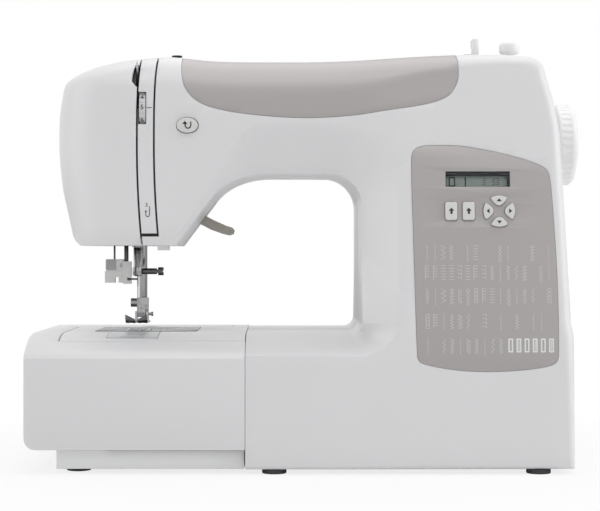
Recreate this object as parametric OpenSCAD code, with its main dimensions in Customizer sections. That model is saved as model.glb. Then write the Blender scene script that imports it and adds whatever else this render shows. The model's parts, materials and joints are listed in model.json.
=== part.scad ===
// Free-arm electronic sewing machine, in millimetres.
// +X runs along the arm to the handwheel, -Y faces the operator and +Z is up.
// The origin is under the middle of the machine, on the table that it stands on.

/* [Housing] */
// Depth of the base from front to back
base_depth = 178; // [172:1:184]
// Distance from the middle to the right-hand wall
body_right = 181; // [178:1:186]
// Distance from the middle to the left end of the extension table
table_left = 200; // [196:1:204]
// Distance from the middle to the left end of the head
head_left = 187; // [184:1:190]
// Height of the lowest dip of the arm's top
arm_top = 294.5; // [291:0.5:300]
// Height of the arm's underside
arm_under = 210; // [208:0.5:213]
// Height of the head's underside
head_under = 158.5; // [157:0.5:161]
// Height of the sewing bed
bed_top = 96; // [94:0.5:98]
// Distance from the middle to the throat's right-hand wall
throat_right = 35; // [30:1:40]
// Wall of the moulded covers
wall = 2.5; // [2:0.1:3]
// Gap between moulded covers at a seam
seam = 0.6; // [0.4:0.1:1]
// Height that the feet lift the base
foot_h = 3.5; // [2.5:0.5:5]
// Width of the line of the take-up slot and the tension slot
slot_w = 1.4; // [1.2:0.1:1.8]

/* [Control panel] */
// Width of the display window
lcd_w = 45; // [40:1:50]
// Height of the display window
lcd_h = 11; // [9:1:13]
// Width of a rectangular key
key_w = 8.8; // [8:0.2:10]
// Height of a rectangular key
key_h = 13.6; // [12:0.2:15]
// Outside diameter of the ring of arrow keys
pad_d = 22.4; // [20:0.2:25]
// Travel of a key
key_travel = 0.8; // [0.5:0.1:1.2]

/* [Drive] */
// Diameter of the handwheel
wheel_d = 59; // [56:1:62]
// Width of the handwheel
wheel_w = 17; // [14:1:18]
// Diameter of the main shafts
shaft_d = 8; // [7:0.5:9]
// Stroke of the needle bar
stroke = 31.5; // [28:0.5:33]
// Diameter of the needle bar
needle_bar_d = 6.4; // [6:0.1:7]
// Diameter of the presser bar
presser_bar_d = 6; // [5.5:0.1:6.5]
// Running clearance of a shaft in its bush, on the radius
running = 0.05; // [0.03:0.01:0.08]
// Teeth of the bevel gear on the lower shaft
drive_teeth = 24; // [24:1:24]
// Teeth of the bevel gear under the hook
hook_teeth = 12; // [12:1:12]

/* [Stitch parts] */
// Left to right length of the needle plate
plate_l = 74; // [70:1:78]
// Front to back width of the needle plate
plate_w = 66; // [62:1:68]
// Height that the presser foot is lifted above the needle plate
foot_lift = 5.7; // [5:0.1:7]
// Radius of the rotary hook
hook_r = 16.6; // [15:0.1:17]
// Diameter of the bobbin
bobbin_d = 20.6; // [20:0.1:21]

/* [Hidden] */
$fn = 48;
eps = 0.02;

white = [0.93, 0.93, 0.93];
panel_grey = [0.68, 0.66, 0.66];
steel = [0.78, 0.78, 0.8];
dark = [0.12, 0.12, 0.13];

// ---- shared arithmetic ----
function lerp(a, b, t) = a + (b - a) * t;
function clamp01(t) = min(1, max(0, t));
function ease(t) = let (c = clamp01(t)) c * c * (3 - 2 * c);

// ---- places worked out from the driving sizes ----
front0 = -base_depth / 2;
back0 = base_depth / 2;
base_z = foot_h;
parting_y = 4;
seam_x = -47;
plinth_left = -178;
plinth_h = 13.5;
table_z = base_z + plinth_h;
crown = 2.8;
shaft_y = -16;
shaft_z = arm_under + 22.6;
shaft_r = shaft_d / 2;
needle_x = -127.5;
crank_r = stroke / 2;
slot_x = -124;
strip_x = slot_x + 12;
lower_z = 45;
hook_y = shaft_y - hook_r - 1.9;
plate_top = bed_top + 0.3;
arm_front = -47;
arm_back = 42;

// ---- outlines of the housing ----
// Height of the arm's top along X: a shallow dip between the head's crown and the column
function top_z(x) = x < -10 ? arm_top + crown * pow((x + 10) / 107, 2)
    : x < 120 ? arm_top + 5.5 * ease((x + 10) / 130)
    : arm_top + 5.5 - 2.6 * pow((x - 120) / 36, 2);
// Right-hand wall: it draws in a little towards the top
function right_x(z) = body_right + 0.5 - 4.5 * clamp01((z - 60) / 205);
// Depth of the front face: upright at the head, leaning back on the column
function head_y(z) = -67 + 5 * clamp01((z - 158) / 138);
function column_y(z) = front0 + 27 * pow(clamp01((z - 80) / 216), 1.3);
function front_y(x, z) = lerp(head_y(z), column_y(z), max(ease((x - 20) / 48), ease((170 - z) / 60)));
// Depth of the back face: the arm's back is set in from the column's
function back_y(x, z) = lerp(lerp(50, 82, ease(x / 60)), back0 - 1, 1 - ease((z - 80) / 60));

// ---- lofting ----
// A solid through closed rings that all have the same number of points
module skin(rings) {
    n = len(rings[0]);
    m = len(rings);
    points = [for (r = rings) each r];
    sides = [for (i = [0 : m - 2], j = [0 : n - 1])
        let (a = i * n + j, b = i * n + (j + 1) % n, c = a + n, d = b + n) each [[a, b, c], [b, d, c]]];
    first = [for (j = [n - 1 : -1 : 0]) j];
    last = [for (j = [0 : n - 1]) (m - 1) * n + j];
    polyhedron(points, concat([first], [last], sides), convexity = 10);
}

// A station holds the inner point [x, z], the outer point [x, z], the facet's width and recess,
// the outer edge's width and depth, and how far the facet is rounded (0 flat, 1 a full sweep).
// side is -1 for the front and 1 for the back; inset moves the skin inwards.
function face_y(side, x, z) = side < 0 ? front_y(x, z) : back_y(x, z);
function profile(s, side, inset) =
    let (pin = s[0], pout = s[1], length = norm(pout - pin), dir = (pout - pin) / length,
         depth = function(k) let (p = pin + dir * k) face_y(side, p[0], p[1]) - side * inset,
         at = function(k, y) let (p = pin + dir * k) [p[0], y, p[1]],
         edge = length - s[4], parting = parting_y + side * seam / 2)
    concat(
        [at(inset, parting)],
        [for (i = [0 : 3]) let (t = i / 3, k = s[2] * lerp(t, t * t, s[6]))
            at(max(inset, k), depth(k) - side * s[3] * (1 - t))],
        [for (i = [1 : 3]) let (k = lerp(s[2], edge, i / 4)) at(k, depth(k))],
        [for (i = [0 : 5]) let (a = 18 * i) at(edge + (s[4] - inset) * sin(a),
            depth(edge) - side * s[5] * (1 - cos(a)))],
        [at(length - inset, parting)]
    );
function thin_ring(s, side) = let (o = profile(s, side, 0), i = profile(s, side, wall))
    side < 0 ? concat(o, reverse(i)) : reverse(concat(o, reverse(i)));
function full_ring(s, side, inset) = let (o = profile(s, side, inset)) side < 0 ? o : reverse(o);
function reverse(v) = [for (i = [len(v) - 1 : -1 : 0]) v[i]];

throat_r = 23;
throat_corner = [throat_right - throat_r, arm_under - throat_r];
cheek = [-97, head_under];
cheek_top = [-71, arm_under - 17];
nook_r = 8;
// Inner edge of the facet: it fades from the arm to the head
function facet_w(x) = lerp(6, 33, ease((x + 97) / 45));
function facet_d(x, side) = side < 0 ? lerp(3, 12, ease((x + 97) / 45)) : 4;
function arm_station(x, z, side) = [[x, z], [x, top_z(x)], side < 0 ? facet_w(x) : 5, facet_d(x, side),
    side < 0 ? 26 : 14, side < 0 ? 22 : 12, 0];
// Outer edge round the column's top corner, f from 0 on the arm to 1 on the side wall
function corner_edge(f) = f < 0.5 ? let (x = lerp(throat_corner[0], 166, f / 0.5)) [x, top_z(x)]
    : f < 0.6 ? [right_x(284) - 4.5, 292.5] + [0, arm_top - 294.5]
    : let (z = lerp(284, throat_corner[1], (f - 0.6) / 0.4)) [right_x(z), z];
function column_stations(side) = [
    for (i = [1 : 10]) let (f = i / 10, a = 90 * f)
        [[throat_corner[0] + throat_r * sin(a), throat_corner[1] + throat_r * cos(a)], corner_edge(f),
         side < 0 ? lerp(33, 25, f) : 5, side < 0 ? 12 : 4, lerp(side < 0 ? 26 : 14, 9, ease(f * 1.6)),
         lerp(side < 0 ? 22 : 12, 11, ease(f * 1.6)), 0],
    for (i = [1 : 4]) let (z = lerp(throat_corner[1], bed_top + nook_r, i / 4))
        [[throat_right, z], [right_x(z), z], side < 0 ? 25 : 5, side < 0 ? 12 : 4, 9, 11, 0]
];
function bed_stations(side, last_x) = [
    for (i = [1 : 6]) let (f = i / 6, a = 90 * f)
        [[throat_right - nook_r * (1 - cos(a)), bed_top + nook_r * (1 - sin(a))],
         f < 0.5 ? [right_x(0), lerp(bed_top + nook_r, base_z, f / 0.5)]
                 : [lerp(right_x(0), throat_right - nook_r, (f - 0.5) / 0.5), base_z],
         side < 0 ? lerp(25, 14, f) : lerp(5, 8, f), side < 0 ? lerp(12, 48, f) : lerp(4, 8, f),
         lerp(9, 3, f), lerp(11, 3, f), f],
    for (i = [1 : 3]) let (x = lerp(throat_right - nook_r, last_x, i / 3))
        [[x, bed_top], [x, base_z], side < 0 ? 14 : 8, side < 0 ? 48 : 8, 3, 3, 1]
];
// Curve from the slanting cheek into the throat's top
function bend(t) = let (u = 1 - t, c = cheek_top, e = [cheek_top[0] + 40, arm_under])
    u * u * u * c + 3 * u * u * t * [c[0] + 8.4, c[1] + 11.2] + 3 * u * t * t * [e[0] - 15,
        e[1]] + t * t * t * e;
function head_stations(side, first_x) = [
    for (i = [0 : 2]) let (x = lerp(first_x, cheek[0], i / 2)) arm_station(x, head_under, side),
    for (i = [1 : 3]) let (p = lerp(cheek, cheek_top, i / 3)) arm_station(p[0], p[1], side),
    for (i = [1 : 5]) let (p = bend(i / 5)) arm_station(p[0], p[1], side),
    for (i = [1 : 4]) let (x = lerp(cheek_top[0] + 40, throat_corner[0], i / 4)) arm_station(x,
        arm_under, side)
];
function body_stations(side) =
    concat(head_stations(side, slot_x + slot_w / 2), column_stations(side), bed_stations(side, seam_x));

// ---- simple bodies ----
module box(a, b) translate(a) cube(b - a);
module rod_x(x0, x1, y, z, r) translate([x0, y, z]) rotate([0, 90, 0]) cylinder(r = r, h = x1 - x0);
module rod_y(y0, y1, x, z, r) translate([x, y0, z]) rotate([-90, 0, 0]) cylinder(r = r, h = y1 - y0);
module rod_z(z0, z1, x, y, r) translate([x, y, z0]) cylinder(r = r, h = z1 - z0);
module tube_x(x0, x1, y, z, r, bore) difference() { rod_x(x0, x1, y, z, r); rod_x(x0 - 1, x1 + 1, y, z,
    bore); }
module tube_z(z0, z1, x, y, r, bore) difference() { rod_z(z0, z1, x, y, r); rod_z(z0 - 1, z1 + 1, x, y,
    bore); }

// ---- curved slots on the head ----
function bow(z) = z < 232 ? 3.4 * pow((232 - z) / 70, 2) : 0.3 * pow((z - 232) / 60, 2);
// Everything between a slot's edge and a far X: side -1 starts at the slot's left edge, 1 at its right
module beside(x0, side, far) {
    edge = [for (z = [150 : 16 : 310]) [x0 + bow(z) + side * slot_w / 2, z]];
    translate([0, 90, 0]) rotate([90, 0, 0]) linear_extrude(190)
        polygon(concat(edge, [[far, 310], [far, 150]]));
}
strip_bottom = head_under + 9;
head_back = 50;
// Opening under the head for the needle bar, the presser bar and the threader
module bar_opening() hull() box([-152, -32, head_under - 5], [-113, 12, head_under + 8]);

// ---- arm panel and control panel outlines, as seen from the front ----
arm_panel_shape = [
    [-92, 299], [-92.5, 279], [-90.6, 270.4], [-85, 262.8], [-75.8, 257.2], [-59.2, 253.1], [-37.9, 250.3],
    [-10.2, 248.4], [11, 248.9], [32.3, 250.6], [52.9, 253.8], [74.2, 256.7], [88.3, 259.9], [96.9, 264.8],
    [101.5, 271.8], [103.2, 280.3], [101, 299]
];
control_panel_shape = [
    [68.6, 218], [69.6, 223.4], [72, 226.3], [77, 228.1], [86.8, 228.4], [100.1, 228.3], [111.3, 226.9],
        [128, 223.7],
    [139.2, 220.9], [150.4, 217.7], [159.5, 214], [163.6, 211], [165.2, 206.5], [166.3, 194.3],
        [168, 160.7], [169.2, 128.2], [169.3, 84.1],
    [168.5, 78.6], [165.3, 75.8], [153.2, 73.1], [126, 71], [103.9, 71.7], [87.3, 74], [76.3, 76.4],
        [72.6, 78.6], [71.6, 82.5],
    [70.1, 149.6]
];
module prism(shape, y0, y1, grow = 0) translate([0, y1, 0]) rotate([90, 0, 0]) linear_extrude(y1 - y0)
    offset(delta = grow) polygon(shape);
panel_t = 1.1;
// A sheet that follows the column's front face, from d0 below it to d1 above it
module face_sheet(d0, d1) {
    steps = 8;
    inside = [for (i = [0 : steps]) let (z = lerp(66, 233, i / steps)) [column_y(z) + d0, z]];
    outside = [for (i = [0 : steps]) let (z = lerp(66, 233, i / steps)) [column_y(z) - d1, z]];
    translate([64, 0, 0]) rotate([90, 0, 90]) linear_extrude(110) polygon(concat(inside, reverse(outside)));
}
// Anything set in the panel is drawn flat and stood on the face at its own height
function lean(z) = atan((column_y(z + 1) - column_y(z - 1)) / 2);
module on_panel(x, z) translate([x, column_y(z), z]) rotate([90 - lean(z), 0, 0]) children();

lcd_x = 115;
lcd_z = 204.7;
key_z = 182.1;
keys_x = [96.1, 108.2];
pad_x = 129.2;
pad_gap = 1.8;
key_gap = 0.35;
key_proud = 2.2;
board_y = front0 + 29;
module key_shape(grow = 0) square([key_w + 2 * grow, key_h + 2 * grow], center = true);
module pad_shape(turn) rotate(turn) intersection() {
    difference() {
        circle(d = pad_d);
        circle(d = pad_d * 0.34);
    }
    polygon([[0, pad_gap * 0.7], [30, 30 + pad_gap * 0.7], [-30, 30 + pad_gap * 0.7]]);
}
module key_holes(grow) {
    for (x = keys_x) hull() on_panel(x, key_z) translate([0, 0, -8]) linear_extrude(16) key_shape(grow);
    hull() on_panel(pad_x, key_z) translate([0, 0, -8]) cylinder(d = pad_d + 2 * grow, h = 16);
}
button_x = -88.4;
button_z = 243.2;
button_y = head_y(243) + 3;
feet_at = [[-165, -62], [-27, -78], [157, -78], [-165, 64], [-27, 76], [157, 76]];
wheel_y = shaft_y;
rack = [-70, 14, 272];
spool_z = rack[2] + 12;
handle_z = rack[2] + 14.5;
handle_x = [8, 90];
spindle_x = 124;
spindle_y = 14;
stop_at = [149.6, 12];
guide_at = [-100.5, 12];
winder_travel = 8;
hub_y = 30;
lifter_x = -112;
lifter_z = 186;
inlet_y = [28, 52];

// ---- covers ----
module front_cover() color(white) difference() {
    union() {
        skin([for (s = body_stations(-1)) thin_ring(s, -1)]);
        bed_end(-1);
    }
    beside(slot_x, 1, -140);
    intersection() {
        beside(slot_x, -1, -100);
        difference() {
            hull() box([-140, -90, strip_bottom - 2], [-100, parting_y, 310]);
            beside(strip_x, 1, -90);
        }
    }
    bar_opening();
    box([-111.3, -44.3, head_under - 5], [-102.7, -29.7, head_under + 5]);
    difference() {
        prism(arm_panel_shape, -90, -34, 0.3);
        skin([for (s = panel_stations()) full_ring(s, -1, panel_t + 0.05)]);
    }
    intersection() {
        face_sheet(panel_t + 0.05, 4);
        prism(control_panel_shape, -95, -60, 0.3);
    }
    hull() on_panel(lcd_x, lcd_z) cube([lcd_w - 4, lcd_h - 3, 20], center = true);
    key_holes(0.8);
    hull() translate([button_x, -40, button_z]) rotate([90, 0, 0]) linear_extrude(40)
        reverse_shape(key_gap);
    hull() rod_x(170, 190, shaft_y, shaft_z, 10);
}
module reverse_shape(grow = 0) scale([(15 + 2 * grow) / (10.6 + 2 * grow), 1]) circle(d = 10.6 + 2 * grow);
function panel_stations() = concat(
    [for (x = [-97, -86, -74, -60, -45, -30, -15, 0]) [[x, 200], [x, top_z(x)], 10, 0.5, 26, 22, 0]],
    [for (f = [0.12 : 0.08 : 0.44]) let (a = 90 * f)
        [[throat_corner[0] + throat_r * sin(a), 200], corner_edge(f), 10, 0.5, 26, 22, 0]]);
// Wall that closes the base where the free arm leaves it
module bed_end(side) {
    difference() {
        skin([for (x = [seam_x + wall + 0.3, seam_x + 0.3])
            full_ring([[x, bed_top], [x, base_z], side < 0 ? 14 : 8, side < 0 ? 48 : 8, 3, 3, 1], side,
                1.2)]);
        box([seam_x - 5, -66, base_z + 4], [seam_x + 5, 40, bed_top - 6]);
    }
}
module rear_cover() color(white) difference() {
    union() {
        skin([for (s = body_stations(1)) thin_ring(s, 1)]);
        bed_end(1);
        intersection() {
            box([rack[0] - 2.5, rack[1] - 2.5, rack[2] - 2.5], [94.5, 44.5, 305]);
            skin([for (s = body_stations(1)) if (s[1][1] > 250) full_ring(s, 1, 0.6)]);
        }
    }
    beside(slot_x, 1, -140);
    bar_opening();
    box([rack[0], rack[1], rack[2]], [handle_x[0] - 5.6, 42, 310]);
    box([handle_x[0] - 1, rack[1], rack[2]], [92, 42, 310]);
    rod_x(handle_x[0] - 4, 94, 19, handle_z, 2.6);
    rod_x(rack[0] - 2, rack[0] + 1, 28, spool_z, 2);
    box([-104, hub_y - 5, head_under - 6], [-72, hub_y + 4, lifter_z + 8]);
    box([spindle_x - 6, spindle_y - 6, 285], [spindle_x + winder_travel + 6, spindle_y + 6, 310]);
    rod_z(280, 310, stop_at[0], stop_at[1], 2);
    rod_z(280, 310, guide_at[0], guide_at[1], 1.6);
    box([170, inlet_y[0], 40], [190, inlet_y[1], 84]);
    for (i = [0 : 7]) hull() for (z = [42, 60]) rod_y(back0 - 19, back0 + 6, 62 + i * 9, z, 2);
}

// The head's left end: level sections, each a rounded half, right side open
head_levels = [
    [head_under, -171, 3, 0, 0], [head_under + 7, -177, 0, 0, 0], [181, -181, 0, 0, 0], [199, -185, 0,
        0, 0],
    [225, -head_left, 0, 0, 0], [248, -head_left, 0, 0, 0], [262, -186, 0, 0, 0], [271.5, -184.5, 0, 0, 0],
    [284.5, -179, 3, 0, 0.4], [294, -169, 11, 4, 1], [297.4, -152, 22, 12, 1], [297.9, -140, 48, 38, 1]
];
function head_ring(level, inset, x_right) =
    let (z = level[0], xl = level[1] + inset, front = head_y(z) + level[2] + inset,
         back = head_back - level[3] - inset, mid = (front + back) / 2, half = (back - front) / 2, n = 14)
    concat([for (i = [0 : n]) let (t = 180 * i / n,
            x = -118 - (-118 - xl) * pow(sin(t), 0.72),
            y = mid - half * sign(cos(t)) * pow(abs(cos(t)), 0.72))
        [x, y, z - inset * (z > 290 ? 1 : z < 160 ? -1 : 0) - 0.135 * level[4] * (-118 - x)]],
        [[x_right, back, z - inset * (z > 290 ? 1 : z < 160 ? -1 : 0)], [x_right, front,
            z - inset * (z > 290 ? 1 : z < 160 ? -1 : 0)]]);
module face_cover() color(white) difference() {
    skin([for (l = head_levels) head_ring(l, 0, -117)]);
    skin([for (l = head_levels) head_ring(l, wall, -110)]);
    beside(slot_x, -1, -90);
    bar_opening();
}
module threading_strip() color(white) {
    difference() {
        skin([for (x = [-127, -118, -108]) thin_ring(arm_station(x, head_under, -1), -1)]);
        beside(slot_x, 1, -140);
        box([-130, -90, head_under - 2], [-100, 10, strip_bottom]);
        difference() {
            box([-140, -90, head_under - 1], [-100, 10, 304]);
            beside(strip_x, -1, -140);
        }
        box([-122.6 - 0.6, -90, 244], [-117.4, -40, 267]);
    }
}
module arm_panel() color(panel_grey) intersection() {
    prism(arm_panel_shape, -90, -34);
    difference() {
        skin([for (s = panel_stations()) full_ring(s, -1, 0)]);
        skin([for (s = panel_stations()) full_ring(s, -1, panel_t)]);
    }
}
module control_panel() color(panel_grey) difference() {
    intersection() {
        face_sheet(panel_t, 0.1);
        prism(control_panel_shape, -95, -60);
    }
    on_panel(lcd_x, lcd_z) cube([lcd_w, lcd_h, 20], center = true);
    key_holes(key_gap);
}
module display_window() color([0.55, 0.6, 0.55, 0.6]) on_panel(lcd_x, lcd_z)
    translate([0, 0, -0.55]) cube([lcd_w - 0.2, lcd_h - 0.2, 0.9], center = true);
module display_module() color([0.45, 0.5, 0.42]) on_panel(lcd_x, lcd_z) difference() {
    translate([0, 0, -5.4]) cube([lcd_w + 6, lcd_h + 8, 4], center = true);
    translate([0, 0, -3.4]) cube([lcd_w - 6, lcd_h - 4, 1], center = true);
}
module key(x, turn = 0) on_panel(x, key_z) {
    translate([0, 0, -4]) linear_extrude(4 + key_proud) children();
    rotate(turn) translate([0, turn == 0 && x < 120 ? 0 : pad_d * 0.34, -9]) cylinder(r = 1.5, h = 6);
}
module left_key() color(white) key(keys_x[0]) key_shape();
module right_key() color(white) key(keys_x[1]) key_shape();
module pad_key(turn) color(white) on_panel(pad_x, key_z) {
    translate([0, 0, -4]) linear_extrude(4 + key_proud) pad_shape(turn);
    rotate(turn) translate([0, pad_d * 0.34, -9]) cylinder(r = 1.5, h = 6);
}
module up_arrow_key() pad_key(0);
module left_arrow_key() pad_key(90);
module down_arrow_key() pad_key(180);
module right_arrow_key() pad_key(270);
module reverse_button() color(white) {
    translate([button_x, button_y + 4, button_z]) rotate([90, 0, 0]) linear_extrude(9.5) reverse_shape();
    rod_y(button_y + 4, button_y + 10, button_x, button_z, 2);
}
dial_y = -50;
dial_z = 255.5;
module tension_dial() color([0.85, 0.85, 0.86]) difference() {
    union() {
        rod_x(-122.4, -118, dial_y, dial_z, 14.6);
        rod_x(-118, -116.5, dial_y, dial_z, 6);
    }
    rod_x(-125, -115, dial_y, dial_z, 2.05);
    for (a = [0 : 15 : 345]) translate([-120.2, dial_y, dial_z]) rotate([a, 0, 0])
        translate([0, 0, 14.6]) cube([5, 0.8, 0.8], center = true);
}
module tension_discs() color(steel) {
    rod_x(-122.4, -104, dial_y, dial_z, 2);
    tube_x(-116, -115, dial_y, dial_z, 9, 1.9);
    tube_x(-114.4, -113.4, dial_y, dial_z, 9, 1.9);
    tube_x(-113.4, -110, dial_y, dial_z, 4.2, 1.9);
}
module lamp() color([0.9, 0.9, 0.85]) difference() {
    box([-111, -44, head_under - 3.4], [-103, -30, head_under + 6]);
    box([-109.5, -42.5, head_under - 4], [-104.5, -31.5, head_under - 1]);
}

// ---- base, free arm and extension table ----
tray = [[plinth_left, -84, base_z], [seam_x - seam, 84, table_z - 0.6]];
module base_tray() color(white) difference() {
    box(tray[0], tray[1]);
    box(tray[0] + [wall, wall, wall], tray[1] - [wall, wall, wall]);
}
module rubber_feet() color(dark) for (p = feet_at) {
    difference() {
        rod_z(0, base_z, p[0], p[1], 8.5);
        rod_z(-1, 1.5, p[0], p[1], 4);
    }
}
arc_r = 89;
arc_y = -41;
function slope_z(y) = y > arc_y ? bed_top : bed_top - arc_r + sqrt(arc_r * arc_r - pow(arc_y - y, 2));
function slope(y0, y1, drop, steps = 8) = [for (i = [0 : steps]) let (y = lerp(y0, y1, i / steps))
    [y, slope_z(y) - drop]];
module along_x(x0, x1) translate([x0, 0, 0]) rotate([90, 0, 90]) linear_extrude(x1 - x0) children();
free_y = [-69, 43];
module free_arm_cover() color(white) difference() {
    along_x(plinth_left, seam_x - seam) polygon(concat([[free_y[1], table_z - 0.6], [free_y[0],
        table_z - 0.6]], slope(free_y[0], arc_y, 0), [[free_y[1], bed_top]]));
    along_x(plinth_left + wall, seam_x + 1) polygon(concat([[free_y[1] - wall, table_z - 2],
        [free_y[0] + wall, table_z - 2]], slope(free_y[0] + wall, arc_y, wall),
        [[free_y[1] - wall, bed_top - wall]]));
    box([plate_x[0] - 0.3, plate_y[0] - 0.3, bed_top - 5], [plate_x[1] + 0.3, plate_y[1] + 0.3,
        bed_top + 1]);
    box([cover_x[0] + 1.5, cover_y[0] + 1.5, bed_top - 20], [cover_x[1] - 1.5, cover_y[1] + 1,
        bed_top + 1]);
    along_x(cover_x[0] - 0.25, cover_x[1] + 0.25) polygon(concat(slope(cover_y[0] - 0.25,
        cover_y[1] + 1, 1.35), [[cover_y[1] + 1, 99], [cover_y[0] - 0.25, 99]]));
}
plate_x = [-158, -158 + plate_l];
plate_y = [-26, -26 + plate_w];
cover_x = [needle_x - 18, needle_x + 18];
cover_y = [-64, -26.6];
module bobbin_cover() color([0.85, 0.87, 0.88, 0.4]) difference() {
    along_x(cover_x[0], cover_x[1]) polygon(concat(slope(cover_y[0], cover_y[1], 1.3),
        reverse(slope(cover_y[0], cover_y[1], 0))));
    box([needle_x - 8, cover_y[0] + 2, bed_top - 12], [needle_x + 8, cover_y[0] + 4, bed_top + 2]);
}
module table_body(inset) {
    intersection() {
        along_x(-table_left + inset, seam_x - 0.3 - inset) polygon(concat(
            [[back0 - inset, table_z + (inset > 0 ? -5 : 0)], [front0 + inset,
                table_z + (inset > 0 ? -5 : 0)], [front0 + inset, 80]],
            slope(-87, arc_y, inset), [[back0 - 3, bed_top - inset], [back0 - inset, bed_top - 3]]));
        translate([0, 100, 0]) rotate([90, 0, 0]) linear_extrude(200)
            polygon(concat([for (i = [0 : 4]) [-table_left + 8 - (8 - inset) * sin(90 - 22.5 * i) ,
                table_z + 8 - (8 - inset) * cos(90 - 22.5 * i)]] ,
                [[seam_x, table_z - 5], [seam_x, 100], [-table_left + 2, 100], [-table_left + inset,
                    94 - inset]]));
    }
}
pocket = [[plinth_left - 1, free_y[0] - 1, 0], [0, free_y[1] + 1, 120]];
module extension_table() color(white) difference() {
    table_body(0);
    box(pocket[0], pocket[1]);
    difference() {
        table_body(wall);
        box([pocket[0][0] - wall, pocket[0][1] - wall, 0], [0, pocket[1][1] + wall, 120]);
        box([pocket[0][0] - 10, pocket[1][1] - 5, 0], [0, 120, table_z + 2.5]);
    }
    box([lid_x[0] - 0.4, lid_y[0] - 0.4, bed_top - 1.8], [lid_x[1] + 0.4, lid_y[1] + 0.4, bed_top + 1]);
    box([lid_x[0] + 2, lid_y[0] + 2, table_z + 2.5], [lid_x[1] - 2, lid_y[1] - 3, bed_top + 1]);
    for (x = [lid_x[0] - 3, lid_x[1] - 1]) rod_x(x, x + 4, lid_y[1] - 1, bed_top - 1, 0.9);
}
lid_x = [-186, -60];
lid_y = [back0 - 39, back0 - 7];
module accessory_lid() color(white) {
    difference() {
        box([lid_x[0], lid_y[0], bed_top - 1.75], [lid_x[1], lid_y[1] - 1, bed_top]);
        rod_z(90, 99, (lid_x[0] + lid_x[1]) / 2, lid_y[0], 8);
    }
    rod_x(lid_x[0] - 2.6, lid_x[1] + 2.6, lid_y[1] - 1, bed_top - 1, 0.75);
}
module needle_plate() color(steel) difference() {
    box([plate_x[0], plate_y[0], bed_top - 1.7], [plate_x[1], plate_y[1], plate_top]);
    for (x = [-7.5, -2.6, 2.6, 7.5]) if (abs(x) > 5) box([needle_x + x - 1.6, shaft_y - 13 + 6, 90],
        [needle_x + x + 1.6, shaft_y + 18, 99]);
    for (x = [-2.4, 2.4]) box([needle_x + x - 1.3, shaft_y + 5, 90], [needle_x + x + 1.3, shaft_y + 16,
        99]);
    hull() for (x = [-3.8, 3.8]) rod_z(90, 99, needle_x + x, shaft_y - 0.5, 1.15);
    for (p = plate_screws_at) rod_z(90, 99, p[0], p[1], 1.6);
    for (p = plate_screws_at) rod_z(bed_top - 0.9, 99, p[0], p[1], 3.2);
    for (i = [0 : 4]) box([plate_x[1] - 28 + 5 * i, -10, plate_top - 0.3], [plate_x[1] - 27.6 + 5 * i,
        10, 99]);
}
plate_screws_at = [[-98, 24], [-150, 24]];
module plate_screws() color(steel) for (p = plate_screws_at) difference() {
    union() {
        rod_z(bed_top - 0.9, plate_top, p[0], p[1], 3.1);
        rod_z(bed_top - 9, bed_top - 0.9, p[0], p[1], 1.5);
    }
    translate([p[0], p[1], plate_top]) cube([8, 1, 1.2], center = true);
}
module feed_dog() color(steel) {
    for (x = [-7.5, 7.5]) box([needle_x + x - 1, shaft_y - 3, 88], [needle_x + x + 1, shaft_y + 14,
        plate_top + 0.6]);
    for (x = [-2.4, 2.4]) box([needle_x + x - 0.8, shaft_y + 8, 88], [needle_x + x + 0.8, shaft_y + 13,
        plate_top + 0.6]);
    box([needle_x - 9, shaft_y + 2, 84], [needle_x + 9, shaft_y + 14, 88]);
    box([needle_x - 3, shaft_y + 14, 84], [needle_x + 3, 13.9, 87]);
}

// ---- hook, gears and lower shaft ----
gear_r = drive_teeth / 2;
pinion_r = hook_teeth / 2;
// Bevel gear standing on its large end: pitch radius r, the mate's radius, tooth height and depth
module bevel(teeth, r, mate, thick, tip, root) linear_extrude(thick, scale = (mate - thick) / mate) {
    circle(r = r - root);
    for (i = [0 : teeth - 1]) rotate(360 * i / teeth)
        polygon([[r - root - 0.5, -0.5], [r + tip, -0.3], [r + tip, 0.3], [r - root - 0.5, 0.5]]);
}
module rotary_hook() color(steel) {
    difference() {
        rod_z(71, 86, needle_x, hook_y, hook_r);
        rod_z(73, 90, needle_x, hook_y, hook_r - 1.7);
        translate([needle_x, hook_y, 80]) linear_extrude(8) polygon([[0, 0], [22, -12], [22, 9]]);
    }
    rod_z(67.1, 71, needle_x, hook_y, 8);
    rod_z(57, 67.1, needle_x, hook_y, 3);
    translate([needle_x, hook_y, lower_z + gear_r]) rotate([180, 0, 0])
        rotate(180 / hook_teeth) bevel(hook_teeth, pinion_r, gear_r, 2.6, 0.75, 1.15);
}
module bobbin_case() color(dark) difference() {
    union() {
        rod_z(74, 89, needle_x, hook_y, hook_r - 2.3);
        box([needle_x - 4, hook_y - hook_r - 1.6, 87], [needle_x + 4, hook_y - 10, 89]);
    }
    rod_z(75.6, 92, needle_x, hook_y, bobbin_d / 2 + 0.5);
    rod_z(70, 92, needle_x, hook_y, 3.2);
}
module bobbin() color([0.8, 0.82, 0.85, 0.5]) difference() {
    union() {
        rod_z(76, 77.2, needle_x, hook_y, bobbin_d / 2);
        rod_z(86, 87.2, needle_x, hook_y, bobbin_d / 2);
        rod_z(77.2, 86, needle_x, hook_y, 4.6);
    }
    rod_z(70, 90, needle_x, hook_y, 3.1);
    for (a = [0 : 60 : 300]) rod_z(70, 90, needle_x + 7.4 * cos(a), hook_y + 7.4 * sin(a), 1);
}
belt_x = 61;
drive_x = 166;
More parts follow.
